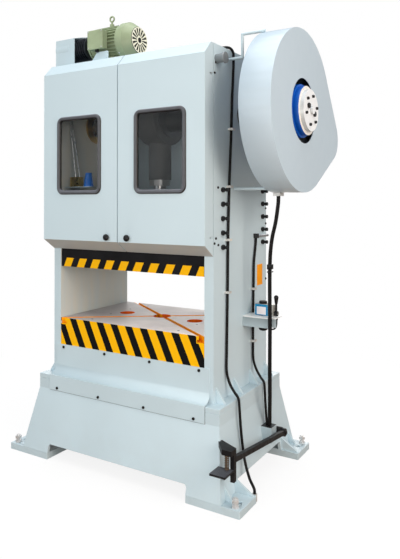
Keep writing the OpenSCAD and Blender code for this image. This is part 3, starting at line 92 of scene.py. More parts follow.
class Graph:
    """A material with a Principled shader and short calls for the nodes that feed it."""

    SPREAD = (0.3, 0.7)

    def __init__(self, name, color, rough, metal=0.0, spec=0.5):
        self.mat = bpy.data.materials.new(name)
        self.mat.use_nodes = True
        self.tree = self.mat.node_tree
        self.shader = self.tree.nodes["Principled BSDF"]
        self.shader.inputs["Base Color"].default_value = (*color, 1)
        self.shader.inputs["Roughness"].default_value = rough
        self.shader.inputs["Metallic"].default_value = metal
        self.shader.inputs["Specular IOR Level"].default_value = spec
        self.coords = self.tree.nodes.new("ShaderNodeTexCoord").outputs["Object"]
        self._split = None

    def put(self, value, socket):
        if isinstance(value, bpy.types.NodeSocket):
            self.tree.links.new(value, socket)
        else:
            socket.default_value = value

    def math(self, what, a, b=0.0):
        n = self.tree.nodes.new("ShaderNodeMath")
        n.operation = what
        self.put(a, n.inputs[0])
        self.put(b, n.inputs[1])
        return n.outputs[0]

    def plus(self, a, b):
        return self.math("ADD", a, b)

    def minus(self, a, b):
        return self.math("SUBTRACT", a, b)

    def times(self, a, b):
        return self.math("MULTIPLY", a, b)

    def over(self, value, limit):
        return self.math("GREATER_THAN", value, limit)

    def less(self, value, limit):
        return self.math("LESS_THAN", value, limit)

    def size(self, value):
        return self.math("ABSOLUTE", value)

    def opposite(self, flag):
        return self.minus(1.0, flag)

    def length(self, a, b):
        return self.math("SQRT", self.plus(self.times(a, a), self.times(b, b)))

    def centred(self, value):
        """Turns 0 to 1 into -0.5 to 0.5."""
        return self.minus(value, 0.5)

    def xyz(self):
        if self._split is None:
            n = self.tree.nodes.new("ShaderNodeSeparateXYZ")
            self.put(self.coords, n.inputs[0])
            self._split = n.outputs
        return self._split

    def normal(self, kind="True Normal"):
        n = self.tree.nodes.new("ShaderNodeSeparateXYZ")
        self.put(self.tree.nodes.new("ShaderNodeNewGeometry").outputs[kind], n.inputs[0])
        return n.outputs

    def noise(self, scale, detail=4.0, stretch=None, rough=0.5):
        n = self.tree.nodes.new("ShaderNodeTexNoise")
        n.inputs["Scale"].default_value = scale
        n.inputs["Detail"].default_value = detail
        n.inputs["Roughness"].default_value = rough
        where = self.coords
        if stretch:
            m = self.tree.nodes.new("ShaderNodeMapping")
            m.inputs["Scale"].default_value = stretch
            self.put(where, m.inputs["Vector"])
            where = m.outputs[0]
        self.put(where, n.inputs["Vector"])
        return n.outputs["Fac"]

    def ramp(self, value, low, high, out_low=0.0, out_high=1.0):
        n = self.tree.nodes.new("ShaderNodeMapRange")
        for k, v in enumerate((value, low, high, out_low, out_high)):
            self.put(v, n.inputs[k])
        return n.outputs[0]

    def mix(self, factor, a, b):
        n = self.tree.nodes.new("ShaderNodeMix")
        n.data_type = "RGBA"
        self.put(factor, n.inputs[0])
        for v, s in ((a, n.inputs[6]), (b, n.inputs[7])):
            self.put((*v, 1) if isinstance(v, tuple) and len(v) == 3 else v, s)
        return n.outputs[2]

    def tint(self, noise, a, b):
        """Colour that drifts from a to b with a noise."""
        return self.mix(self.ramp(noise, *self.SPREAD), a, b)

    def color(self, value):
        self.put(value, self.shader.inputs["Base Color"])

    def metal(self, value):
        self.put(value, self.shader.inputs["Metallic"])

    def rough(self, noise, low, high):
        """Roughness that drifts from low to high with a noise."""
        self.put(self.ramp(noise, *self.SPREAD, low, high), self.shader.inputs["Roughness"])

    def bump(self, *layers):
        last = None
        for layer in layers:
            n = self.tree.nodes.new("ShaderNodeBump")
            n.inputs["Strength"].default_value = layer.strength
            n.inputs["Distance"].default_value = layer.depth
            self.put(layer.height, n.inputs["Height"])
            if last is not None:
                self.put(last, n.inputs["Normal"])
            last = n.outputs[0]
        self.put(last, self.shader.inputs["Normal"])


def shade(color, k):
    return tuple(c * k for c in color)


# Wear, dirt, painted light and painted shade that several materials share

DUST_TOP = 0.42
SEAM_W, SEAM_FRONT, SEAM_DEPTH = 0.0022, -0.42, 0.75
STRIPE_WOBBLE = 0.004


def dusted(g, tone, amount):
    """Floor dust that fades out towards DUST_TOP."""
    low = g.ramp(g.xyz()[2], 0.0, DUST_TOP, amount, 0.0)
    return g.mix(g.times(low, g.ramp(g.noise(scale=9.0, detail=6.0), 0.35, 0.75)), tone, DUST)


def seamed(g, tone, half, low):
    """Dark line along the joint at both sides of the front and along its lower edge, painted as its contact
    shadow.
    """
    x, y, z = g.xyz()
    side = g.minus(g.size(x), half)
    gap = g.size(g.math("MAXIMUM", side, g.minus(low, z)))
    gap = g.times(g.less(gap, SEAM_W), g.less(y, SEAM_FRONT))
    return g.mix(g.times(gap, SEAM_DEPTH), tone, SEAM_DARK)


def oil_and_inward_light(g, tone, amount):
    """Oil streaks and painted warm light on the faces that look inward."""
    inward = g.less(g.times(g.normal()[0], g.math("SIGN", g.xyz()[0])), -0.5)
    streaks = g.noise(scale=16.0, detail=5.0, stretch=(1.0, 1.0, 0.18))
    oil_light_streaks = g.ramp(streaks, *g.SPREAD, 0.5 * amount, amount)
    return g.mix(g.times(inward, oil_light_streaks), tone, OIL_AND_LIGHT_TONE)


def painted_under_shade(g, tone, amount):
    """Painted shade on the faces that look down, warm like the floor's reflection."""
    return g.mix(g.times(g.less(g.normal()[2], -0.3), amount), tone, UNDER_SHADE)


def painted_side_shade(g, skin, color):
    """Painted shade: darkens faces that look down or to the right on the motor."""
    way = g.normal("Normal")
    hidden = g.minus(g.times(way[0], 0.9), g.times(way[2], 0.5))
    return g.mix(g.ramp(hidden, -0.1, 0.8, 0.0, 0.75), skin, shade(color, 0.42))


def hazard(g, lean, step, start, share):
    """1 on the part of each step that a leaning stripe covers."""
    x, z = g.xyz()[0], g.xyz()[2]
    wobble = g.times(g.centred(g.noise(scale=18.0, detail=3.0)), STRIPE_WOBBLE)
    slant = g.plus(g.plus(x, g.times(z, lean)), wobble)
    return g.less(g.math("FRACT", g.math("DIVIDE", g.plus(slant, start), step)), share)


# General materials

def paint(name, color, rough=0.36, vary=0.05, peel=0.10, wave=0.10, speck=0.04, spec=0.5,
          dust=0.0, seam=None, oil=0.0, under=0.0):
    """Sprayed paint on plate: broad tone drift, orange peel and slow waves in the sheet."""
    g = Graph(name, color, rough, spec=spec)
    tone = g.tint(g.noise(scale=1.7), shade(color, 1 - vary), shade(color, 1 + vary * 0.6))
    spots = g.ramp(g.noise(scale=70.0, detail=5.0, rough=0.7), 0.66, 0.78)
    tone = g.mix(g.times(spots, speck), tone, shade(color, 0.72))
    if dust:
        tone = dusted(g, tone, dust)
    if seam:
        tone = seamed(g, tone, *seam)
    if oil:
        tone = oil_and_inward_light(g, tone, oil)
    if under:
        tone = painted_under_shade(g, tone, under)
    g.color(tone)
    g.rough(g.noise(scale=14.0), rough - 0.05, rough + 0.09)
    g.bump(Relief(g.noise(scale=4.2, detail=2.0), strength=wave, depth=0.004),
           Relief(g.noise(scale=520.0, detail=2.0), strength=peel, depth=0.0006))
    return g.mat


def steel(name, color, rough, along=(1.0, 60.0, 60.0)):
    """Machined steel with fine tool marks along one way."""
    g = Graph(name, color, rough, metal=1.0)
    marks = g.noise(scale=12.0, detail=6.0, stretch=along, rough=0.65)
    g.color(g.tint(marks, shade(color, 0.82), shade(color, 1.08)))
    g.rough(marks, rough - 0.08, rough + 0.12)
    g.bump(Relief(marks, strength=0.25, depth=0.0004),
           Relief(g.noise(scale=90.0, detail=3.0), strength=0.05, depth=0.0005))
    return g.mat


def plastic(name, color, rough, grain=700.0, spec=0.5):
    """Moulded plastic or rubber with a fine spark grain."""
    g = Graph(name, color, rough, spec=spec)
    g.color(g.tint(g.noise(scale=20.0), shade(color, 0.85), shade(color, 1.15)))
    g.rough(g.noise(scale=60.0, detail=3.0), rough - 0.07, rough + 0.08)
    g.bump(Relief(g.noise(scale=grain, detail=2.0), strength=0.12, depth=0.0004))
    return g.mat


def cast(name, color, rough, metal=0.0, side_shade=False):
    """Painted or bare casting with a sandy skin; on request, painted shade on faces that look down or right."""
    g = Graph(name, color, rough, metal)
    skin = g.tint(g.noise(scale=8.0, detail=6.0), shade(color, 0.8), shade(color, 1.12))
    g.color(painted_side_shade(g, skin, color) if side_shade else skin)
    g.rough(g.noise(scale=30.0), rough - 0.1, rough + 0.1)
    g.bump(Relief(g.noise(scale=240.0), strength=0.22, depth=0.0012),
           Relief(g.noise(scale=16.0, detail=3.0), strength=0.1, depth=0.003))
    return g.mat


FLOOR_DUST = 0.12
SHEET = dict(vary=0.02, speck=0.0)
RIM_SEAM = (0.6280, 0.4385)

frame_paint = paint("frame_paint", PAINT, dust=FLOOR_DUST)
# The columns' inward faces carry oil streaks and painted warm light
column_paint = paint("column_paint", PAINT, dust=FLOOR_DUST, oil=0.6)
rim_paint = paint("rim_paint", shade(PAINT, 0.97), dust=FLOOR_DUST, seam=RIM_SEAM)
# The doors' down-facing lips carry painted shade
door_paint = paint("door_paint", PAINT, peel=0.04, under=0.5, **SHEET)
guard_paint = paint("guard_paint", (0.515, 0.630, 0.720), rough=0.34, peel=0.03, **SHEET)
black_paint = paint("black_paint", SOOT, rough=0.4, vary=0.25, peel=0.2, spec=0.15)
orange_paint = paint("orange_paint", (1.0, 0.36, 0.002), rough=0.4, vary=0.12, spec=0.2)
label_blue = paint("label_blue", (0.004, 0.27, 0.56), rough=0.3, vary=0.12, spec=0.3)
label_white = paint("label_white", (0.93, 0.89, 0.92), rough=0.35, vary=0.06)
# The motor's green carries painted shade on faces that look down or to the right
motor_green = cast("motor_green", GREEN, rough=0.45, side_shade=True)
dark_iron = cast("dark_iron", (0.055, 0.060, 0.066), rough=0.5)
pin_grey = cast("pin_grey", (0.27, 0.30, 0.32), rough=0.42, metal=0.3)
rod_paint = cast("rod_paint", (0.13, 0.14, 0.148), rough=0.5)
bolt_zinc = cast("bolt_zinc", (0.70, 0.71, 0.72), rough=0.34, metal=0.35)
pump_metal = cast("pump_metal", (0.50, 0.50, 0.47), rough=0.4, metal=0.6)
bright_steel = steel("bright_steel", (0.60, 0.61, 0.63), rough=0.28)
bronze = steel("bronze", BRONZE, rough=0.35)
crank_steel = steel("crank_steel", (0.15, 0.155, 0.165), rough=0.34)
pulley_iron = steel("pulley_iron", (0.050, 0.054, 0.066), rough=0.36, along=(60.0, 2.0, 2.0))
spring_steel = steel("spring_steel", (0.20, 0.145, 0.10), rough=0.4)
black_oxide = plastic("black_screws", SOOT, rough=0.40, grain=300.0, spec=0.3)
rubber = plastic("black_rubber", (0.012, 0.012, 0.013), rough=0.6, spec=0.25)
conduit_black = plastic("conduit_black", BLACK, rough=0.45, spec=0.15)
black_plastic = plastic("black_plastic", SOOT, rough=0.30, spec=0.25)
blue_plastic = plastic("blue_plastic", (0.006, 0.155, 0.62), rough=0.25)


# Materials of single pieces

GLASS_ALPHA, GLASS_IOR = 0.14, 1.49


def glass():
    """Tinted pane with slow waves and patches of haze."""
    g = Graph("tinted_glass", (0.016, 0.019, 0.022), rough=0.06)
    g.shader.inputs["Alpha"].default_value = GLASS_ALPHA
    g.shader.inputs["IOR"].default_value = GLASS_IOR
    haze = g.ramp(g.noise(scale=6.0, detail=5.0), 0.4, 0.7, 0.03, 0.10)
    g.put(haze, g.shader.inputs["Roughness"])
    g.bump(Relief(g.noise(scale=2.2, detail=1.0), strength=0.03, depth=0.002))
    g.mat.surface_render_method = "BLENDED"
    return g.mat


BOLSTER_STRIPES = dict(lean=0.473, step=0.1212, start=0.063, share=0.485)
BOLSTER_TOP, BOLSTER_FRONT = 0.9285, -0.3735
BOLSTER_HALF, BOLSTER_BACK_SHIFT = 0.5845, 0.211
CORNER_X, CORNER_HALF, CORNER_Z = 0.556, 0.026, 0.886
SLOT_MID, SLOT_W = 0.0385, 0.022
SLOT_WAY = (-0.8148, 0.5797)
SLOT_BRINK, SLOT_REACH = 0.006, 0.012
SHADE_FROM, SHADE_TO = -0.50, 0.02


def slot_distance(g):
    """Distance from the nearer of the two diagonal T-slots."""
    x, y = g.xyz()[:2]
    lane = 1.0
    for s in (1, -1):
        off = g.plus(g.times(g.minus(x, s * SLOT_MID), SLOT_WAY[1]), g.times(y, -s * SLOT_WAY[0]))
        lane = g.math("MINIMUM", lane, g.size(off))
    return lane


def bolster_front(g):
    """Hazard stripes, plain yellow round the ends of the slots, rubbed through in spots."""
    x, z = g.xyz()[0], g.xyz()[2]
    near_slot = g.less(g.size(g.minus(g.size(x), CORNER_X)), CORNER_HALF)
    corner = g.times(g.over(z, CORNER_Z), near_slot)
    stripe = g.times(hazard(g, **BOLSTER_STRIPES), g.opposite(corner))
    wear_and_light = g.ramp(g.noise(scale=26.0, detail=8.0, rough=0.7), 0.70, 0.76)
    return g.mix(g.times(wear_and_light, 0.35), g.mix(stripe, YELLOW, BLACK), WORN_STRIPE)


def bolster_mat():
    """Hazard stripes on the front, ground steel on top, orange inside the slots, red inside the holes."""
    g = Graph("stripe_paint", YELLOW, rough=0.4, spec=0.06)
    x, y, z = g.xyz()
    grind = g.noise(scale=7.0, detail=8.0, stretch=(1.0, 26.0, 1.0), rough=0.7)
    top = g.mix(g.ramp(grind, 0.25, 0.75), (0.86, 0.79, 0.77), (1.0, 0.94, 0.92))
    stain = g.ramp(g.noise(scale=3.5, detail=6.0), 0.5, 0.72)
    top = g.mix(g.times(stain, 0.40), top, (0.46, 0.41, 0.41))
    # Painted shade and dark reflection of the left column darken the top towards the left
    top = g.mix(g.ramp(x, SHADE_FROM, SHADE_TO, 0.55, 0.0), top, (0.24, 0.24, 0.26))
    lane = slot_distance(g)
    fleck = g.ramp(g.noise(scale=22.0), 0.35, 0.7)
    orange = g.mix(fleck, (1.0, 0.42, 0.006), (1.0, 0.30, 0.006))
    red = g.mix(fleck, (0.95, 0.16, 0.006), (0.70, 0.09, 0.006))
    inside = g.mix(g.less(lane, SLOT_W / 2 + SLOT_REACH), red, orange)
    brink = g.less(lane, SLOT_W / 2 + SLOT_BRINK)
    top = g.mix(g.times(brink, 0.95), top, orange)
    way = g.normal()
    is_top = g.times(g.over(way[2], 0.7), g.over(z, BOLSTER_TOP))
    is_front = g.times(g.less(way[1], -0.5), g.less(y, BOLSTER_FRONT))
    reach = g.math("MAXIMUM", g.size(x), g.plus(y, BOLSTER_BACK_SHIFT))
    body = g.mix(g.over(reach, BOLSTER_HALF), inside, (0.20, 0.20, 0.20))
    g.color(g.mix(is_front, g.mix(is_top, body, top), bolster_front(g)))
    g.metal(g.times(is_top, 0.05))
    g.rough(grind, 0.40, 0.56)
    g.bump(Relief(grind, strength=0.08, depth=0.001),
           Relief(g.noise(scale=500.0, detail=2.0), strength=0.08, depth=0.0005))
    return g.mat


SLIDE_STRIPES = dict(lean=-0.47, step=0.12075, start=1.171, share=0.53)
SLIDE_BAND_TOP, SLIDE_FRONT, SLIDE_FOOT = 1.354, -0.365, 1.2945


def slide_mat():
    """Black slide with hazard stripes along the lower edge of its front and a bare underside."""
    g = Graph("slide_paint", BLACK, rough=0.4, spec=0.08)
    y, z = g.xyz()[1:]
    way = g.normal()
    band = g.times(g.less(way[1], -0.5), g.less(z, SLIDE_BAND_TOP))
    band = g.times(band, g.less(y, SLIDE_FRONT))
    base = g.tint(g.noise(scale=6.0, detail=5.0), BLACK, (0.013, 0.013, 0.015))
    wear_and_light = g.times(g.ramp(g.noise(scale=30.0, detail=8.0, rough=0.7), 0.70, 0.76), 0.3)
    striped = g.mix(g.times(band, hazard(g, **SLIDE_STRIPES)), base, YELLOW)
    g.color(g.mix(wear_and_light, striped, WORN_SLIDE))
    g.metal(g.times(g.times(g.less(way[2], -0.7), g.less(z, SLIDE_FOOT)), 0.7))
    g.rough(g.noise(scale=40.0), 0.32, 0.48)
    g.bump(Relief(g.noise(scale=480.0, detail=2.0), strength=0.15, depth=0.0006),
           Relief(g.noise(scale=5.0, detail=2.0), strength=0.08, depth=0.004))
    return g.mat


def gasket_mat():
    """Black rubber bead with painted light: lighter where it looks up or left, darker where it looks down or
    right.
    """
    g = Graph("gasket_rubber", (0.09, 0.095, 0.112), rough=0.34)
    way = g.normal("Normal")
    lit = g.minus(g.times(way[2], 0.8), g.times(way[0], 0.6))
    # Painted light from the facing, broken by a noise
    painted_light = g.plus(lit, g.times(g.centred(g.noise(scale=30.0)), 0.2))
    g.color(g.mix(g.ramp(painted_light, -0.45, 0.55), (0.010, 0.010, 0.012), (0.175, 0.185, 0.215)))
    g.rough(g.noise(scale=60.0, detail=3.0), 0.28, 0.42)
    g.bump(Relief(g.noise(scale=500.0, detail=2.0), strength=0.08, depth=0.0004))
    return g.mat


COWL_SLOTS, COWL_END = 16, -0.0755
SLOT_SHARE, SLOT_INNER_R, SLOT_OUTER_R = 0.27, 0.030, 0.083


def cowl_mat():
    """Green fan cowl, cream on its slotted end face, with painted shade inside and round the slots."""
    g = Graph("cowl_green", GREEN, rough=0.45)
    x, y, z = g.xyz()
    skin = g.tint(g.noise(scale=8.0, detail=5.0), shade(GREEN, 0.85), shade(GREEN, 1.1))
    # Painted shade on the green faces that look down or to the right
    skin = painted_side_shade(g, skin, GREEN)
    cream = g.tint(g.noise(scale=25.0), (0.70, 0.69, 0.52), (0.80, 0.79, 0.66))
    out, up = g.minus(y, MOTOR_Y), g.minus(z, MOTOR_Z)
    r = g.length(out, up)
    turn = g.math("DIVIDE", g.math("ARCTAN2", up, out), 2 * math.pi / COWL_SLOTS)
    turn = g.size(g.centred(g.math("FRACT", g.plus(turn, COWL_SLOTS + 0.5))))
    # Painted shade: a dark wedge round each slot on the end face widens the slot's dark opening
    wedge = g.times(g.less(turn, SLOT_SHARE), g.over(r, SLOT_INNER_R))
    wedge = g.times(wedge, g.less(r, SLOT_OUTER_R))
    bars = g.times(g.over(g.normal()[0], 0.6), g.opposite(wedge))
    end = g.mix(bars, (0.03, 0.03, 0.028), cream)
    g.color(g.mix(g.over(x, COWL_END), skin, end))
    g.rough(g.noise(scale=30.0), 0.34, 0.52)
    g.bump(Relief(g.noise(scale=300.0, detail=3.0), strength=0.12, depth=0.0008))
    return g.mat


TUBES_FROM_Z = 1.9205


def distributor_mat():
    """Brass block with steel tubes above it."""
    g = Graph("brass", (0.62, 0.42, 0.12), rough=0.3, metal=1.0)
    brass = g.tint(g.noise(scale=30.0), (0.46, 0.29, 0.08), (0.70, 0.49, 0.17))
    g.color(g.mix(g.over(g.xyz()[2], TUBES_FROM_Z), brass, (0.62, 0.64, 0.66)))
    g.rough(g.noise(scale=50.0), 0.22, 0.40)
    g.bump(Relief(g.noise(scale=120.0, detail=3.0), strength=0.1, depth=0.0006))
    return g.mat


CLUTCH_BOLTS, CLUTCH_BOLT_TURN, CLUTCH_BOLT_RING = 6, 15, 0.092
CLUTCH_BOLT_STEP = 360 / CLUTCH_BOLTS
CLUTCH_BOLT_HOLE, CLUTCH_PLATE_X, FLANGE_FROM_R = 0.0098, 1.1, 0.1285


def clutch_mat():
    """Turned clutch: a white plate with dark bolts on a grey drum, and a pale flange with a blue side."""
    g = Graph("clutch_steel", (0.9, 0.9, 0.9), rough=0.42)
    x, y, z = g.xyz()
    up = g.minus(z, CRANK_Z)
    r = g.length(y, up)
    rings = g.noise(scale=8.0, detail=5.0, stretch=(40.0, 1.0, 1.0), rough=0.6)
    drum = g.tint(rings, (0.50, 0.54, 0.57), (0.66, 0.69, 0.71))
    pale = g.tint(g.noise(scale=30.0), (0.80, 0.79, 0.74), (0.92, 0.91, 0.88))
    white = g.tint(g.noise(scale=18.0), (0.85, 0.90, 0.94), (0.92, 0.96, 1.0))
    blue = g.tint(g.noise(scale=9.0, detail=5.0), (0.001, 0.085, 0.45), (0.003, 0.120, 0.58))
    step = math.radians(CLUTCH_BOLT_STEP)
    phase = CLUTCH_BOLTS + 0.5 - CLUTCH_BOLT_TURN / CLUTCH_BOLT_STEP
    turn = g.math("DIVIDE", g.math("ARCTAN2", up, y), step)
    turn = g.centred(g.math("FRACT", g.plus(turn, phase)))
    across = g.times(g.times(turn, step), r)
    hole = g.less(g.length(across, g.minus(r, CLUTCH_BOLT_RING)), CLUTCH_BOLT_HOLE)
    hole = g.times(hole, g.over(x, CLUTCH_PLATE_X))
    face = g.over(g.normal()[0], 0.6)
    flange = g.over(r, FLANGE_FROM_R)
    skin = g.mix(face, g.mix(flange, drum, blue), g.mix(flange, white, pale))
    g.color(g.mix(hole, skin, (0.010, 0.010, 0.011)))
    g.metal(g.times(g.opposite(g.math("MAXIMUM", face, flange)), 0.4))
    g.rough(rings, 0.36, 0.50)
    g.bump(Relief(rings, strength=0.08, depth=0.0004))
    return g.mat


BLUE_HUB_R = 0.167


def gear_mat():
    """Blue painted hub in a dark, greased gear."""
    g = Graph("gear_blue", (0.002, 0.095, 0.50), rough=0.32, spec=0.3)
    y, z = g.xyz()[1:]
    r = g.length(y, g.minus(z, CRANK_Z))
    blue = g.tint(g.noise(scale=9.0, detail=5.0), (0.001, 0.080, 0.43), (0.003, 0.115, 0.56))
    iron = g.tint(g.noise(scale=14.0, detail=6.0), (0.025, 0.026, 0.028), (0.060, 0.060, 0.062))
    g.color(g.mix(g.less(r, BLUE_HUB_R), iron, blue))
    g.rough(g.noise(scale=25.0), 0.26, 0.42)
    g.bump(Relief(g.noise(scale=200.0), strength=0.12, depth=0.0008))
    return g.mat


BUSH_PAINT_X = 0.6495


def bush_mat():
    """Bronze bushes, painted with the columns where they stand out of them."""
    g = Graph("bush_bronze", BRONZE, rough=0.35, metal=1.0)
    outside = g.over(g.size(g.xyz()[0]), BUSH_PAINT_X)
    turned = g.noise(scale=40.0, stretch=(1.0, 20.0, 20.0))
    g.color(g.mix(outside, g.tint(turned, (0.42, 0.28, 0.10), (0.55, 0.38, 0.16)), PAINT))
    g.metal(g.opposite(outside))
    g.bump(Relief(g.noise(scale=300.0, detail=3.0), strength=0.08, depth=0.0005))
    return g.mat


SHELF_TOP, SHELF_LIP, SHELF_FOOT = 0.9975, 0.995, 0.93


def shelf_mat():
    """Painted shelf: painted light brightens the top, painted shade darkens the flange below its overhanging edge.
    """
    g = Graph("shelf_paint", PAINT, rough=0.36)
    z = g.xyz()[2]
    # Painted shade on the flange, darkest just below the overhanging edge
    shaded_flange = g.mix(g.ramp(z, SHELF_FOOT, SHELF_LIP), shade(PAINT, 0.82), shade(PAINT, 0.52))
    # Painted light on the shelf's top
    wear_and_light = g.tint(g.noise(scale=14.0, detail=5.0), (0.78, 0.82, 0.84), (0.88, 0.90, 0.91))
    g.color(g.mix(g.over(z, SHELF_TOP), shaded_flange, wear_and_light))
    g.rough(g.noise(scale=30.0), 0.30, 0.44)
    g.bump(Relief(g.noise(scale=520.0, detail=2.0), strength=0.10, depth=0.0006))
    return g.mat


ELBOW_LOW, ELBOW_HIGH, ELBOW_FRONT = 1.4995, 1.6, 0.1
FOOT_BOX_TOP, GLAND_TOP = 0.2835, 0.33


def fittings_mat():
    """Zinc clips and boxes, a painted foot box, and black plastic for the elbow and the foot's glands."""
    g = Graph("fittings_zinc", (0.66, 0.67, 0.68), rough=0.38)
    y, z = g.xyz()[1:]
    elbow = g.times(g.over(z, ELBOW_LOW), g.less(z, ELBOW_HIGH))
    elbow = g.times(elbow, g.over(y, ELBOW_FRONT))
    gland = g.times(g.over(z, FOOT_BOX_TOP), g.less(z, GLAND_TOP))
    moulded = g.math("MAXIMUM", elbow, gland)
    zinc = g.tint(g.noise(scale=16.0, detail=6.0), (0.56, 0.56, 0.55), (0.80, 0.79, 0.76))
    foot_box = g.times(g.less(z, FOOT_BOX_TOP), g.over(y, 0.0))
    g.color(g.mix(moulded, g.mix(foot_box, zinc, shade(PAINT, 0.9)), SOOT))
    g.metal(g.times(g.opposite(moulded), 0.35))
    g.rough(g.noise(scale=40.0), 0.30, 0.46)
    g.bump(Relief(g.noise(scale=260.0, detail=3.0), strength=0.10, depth=0.0006))
    return g.mat


TREAD_PITCH, TREAD_BAR_LONG, TREAD_BAR_WIDE = 0.0125, 0.36, 0.13
PEDAL_TOP, PEDAL_BACK = 0.258, -0.517


def tread_mat():
    """Black steel with a checker tread of crossed bars on top of the pedal."""
    g = Graph("treadle_paint", (0.010, 0.010, 0.011), rough=0.45, spec=0.2)
    x, y, z = g.xyz()
    a = g.math("DIVIDE", g.plus(x, y), TREAD_PITCH)
    b = g.math("DIVIDE", g.minus(x, y), TREAD_PITCH)
    odd = g.math("FRACT", g.times(g.plus(g.math("FLOOR", a), g.math("FLOOR", b)), 0.5))
    u = g.size(g.centred(g.math("FRACT", a)))
    v = g.size(g.centred(g.math("FRACT", b)))
    along_u = g.times(g.less(u, TREAD_BAR_LONG), g.less(v, TREAD_BAR_WIDE))
    along_v = g.times(g.less(v, TREAD_BAR_LONG), g.less(u, TREAD_BAR_WIDE))
    bars = g.plus(g.times(along_u, g.over(odd, 0.25)), g.times(along_v, g.less(odd, 0.25)))
    plate = g.times(g.over(g.normal()[2], 0.8), g.less(z, PEDAL_TOP))
    plate = g.times(plate, g.less(y, PEDAL_BACK))
    raised = g.times(bars, plate)
    dark = g.tint(g.noise(scale=12.0, detail=5.0), BLACK, (0.015, 0.015, 0.017))
    grey = g.mix(raised, (0.052, 0.056, 0.068), (0.13, 0.135, 0.15))
    g.color(g.mix(plate, dark, grey))
    g.rough(g.noise(scale=45.0), 0.34, 0.55)
    g.bump(Relief(raised, strength=0.8, depth=0.0015),
           Relief(g.noise(scale=400.0, detail=2.0), strength=0.15, depth=0.0006))
    return g.mat


# Materials and softened edges of the CAD nodes

gasket_rubber = gasket_mat()
shelf_paint = shelf_mat()
LOOKS = {
    "frame_paint": frame_paint, "guard_paint": guard_paint, "stripe_paint": bolster_mat(),
    "black_paint": black_paint, "bright_steel": bright_steel, "clutch_steel": clutch_mat(),
    "black_screws": black_oxide, "dark_iron": dark_iron, "bronze": bronze, "gear_blue": gear_mat(),
    "motor_green": motor_green, "pulley_iron": pulley_iron, "black_rubber": rubber,
    "conduit_black": conduit_black, "black_plastic": black_plastic, "tinted_glass": glass(),
    "pump_metal": pump_metal, "spring_steel": spring_steel, "brass": distributor_mat(),
    "blue_plastic": blue_plastic,
}
OWN = {
    "slide": slide_mat(), "fan_cowl": cowl_mat(), "treadle": tread_mat(), "crank_bushes": bush_mat(),
    "left_door": door_paint, "right_door": door_paint, "left_column": column_paint,
    "right_column": column_paint, "base_lid": rim_paint, "base_end_walls": rim_paint,
    "lubricator_shelf": shelf_paint, "conduit_fittings": fittings_mat(), "lifting_pins": pin_grey,
    "crankshaft": crank_steel, "connecting_rod": rod_paint, "levelling_bolts": bolt_zinc,
}
EDGES_MM = {
    1: ("oil_shelf", "gib_screws", "motor_pulley"),
    1.2: ("left_door", "right_door", "levelling_bolts", "conduit_fittings"),
    1.5: ("bolster", "lubricator_shelf", "apron_screws", "bull_gear"),
    1.6: ("apron",),
    2: ("gussets", "crown_top_plate", "crown_rear_plate", "bed_plate", "bed_ribs", "gibs", "slide",
        "motor_bed", "treadle", "treadle_brackets", "oil_cup", "shaft_brackets"),
    2.5: ("clutch_cover", "gear_guard", "lifting_pins"),
    3: ("base_end_walls", "base_side_walls", "base_lid", "left_column", "right_column", "flywheel",
        "motor_end_shield", "connecting_rod"),
    4: ("foot_plates", "terminal_box"),
}
EDGE_OF = {node: width for width, nodes in EDGES_MM.items() for node in nodes}
EDGE_ANGLE, EDGE_STEPS, WELD = 40, 2, 0.00002


def soften(obj, width):
    weld = obj.modifiers.new("weld", "WELD")
    weld.merge_threshold = WELD
    edge = obj.modifiers.new("edge", "BEVEL")
    edge.width = width
    edge.segments = EDGE_STEPS
    edge.limit_method = "ANGLE"
    edge.angle_limit = math.radians(EDGE_ANGLE)
    edge.use_clamp_overlap = True
    edge.harden_normals = True


slot_of = {s["node"]: s["material_slot"] for s in frame["record"]["subparts"]}
for name, obj in NODES.items():
    obj.data.materials.clear()
    obj.data.materials.append(OWN.get(name) or LOOKS[slot_of[name]])
    if name in EDGE_OF:
        soften(obj, EDGE_OF[name] / MM_PER_M)


# Mesh pieces

SAME_POINT, LEAST_R = 1e-6, 1e-5


def piece(name, verts, faces, mat, body="frame", slot=None, smooth=40.0, replaces=()):
    """Mesh object on a body; edges flatter than smooth degrees are shaded smooth."""
    mesh = bpy.data.meshes.new(name)
    mesh.from_pydata([tuple(v) for v in verts], [], [tuple(f) for f in faces])
    bm = bmesh.new()
    bm.from_mesh(mesh)
    bmesh.ops.remove_doubles(bm, verts=bm.verts, dist=SAME_POINT)
    bmesh.ops.recalc_face_normals(bm, faces=bm.faces)
    for f in bm.faces:
        f.smooth = True
    for e in bm.edges:
        if len(e.link_faces) == 2:
            e.smooth = e.calc_face_angle(0.0) < math.radians(smooth)
    bm.to_mesh(mesh)
    bm.free()
    mesh.materials.append(mat)
    obj = bpy.data.objects.new(name, mesh)
    scene.collection.objects.link(obj)
    if body:
        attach(obj, body)
    if replaces:
        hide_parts(*replaces)
    return obj


def circle(at, u, w, r, sides):
    """Points of a circle in the plane of u and w."""
    angles = (2 * math.pi * k / sides for k in range(sides))
    return [at + (u * math.cos(a) + w * math.sin(a)) * r for a in angles]


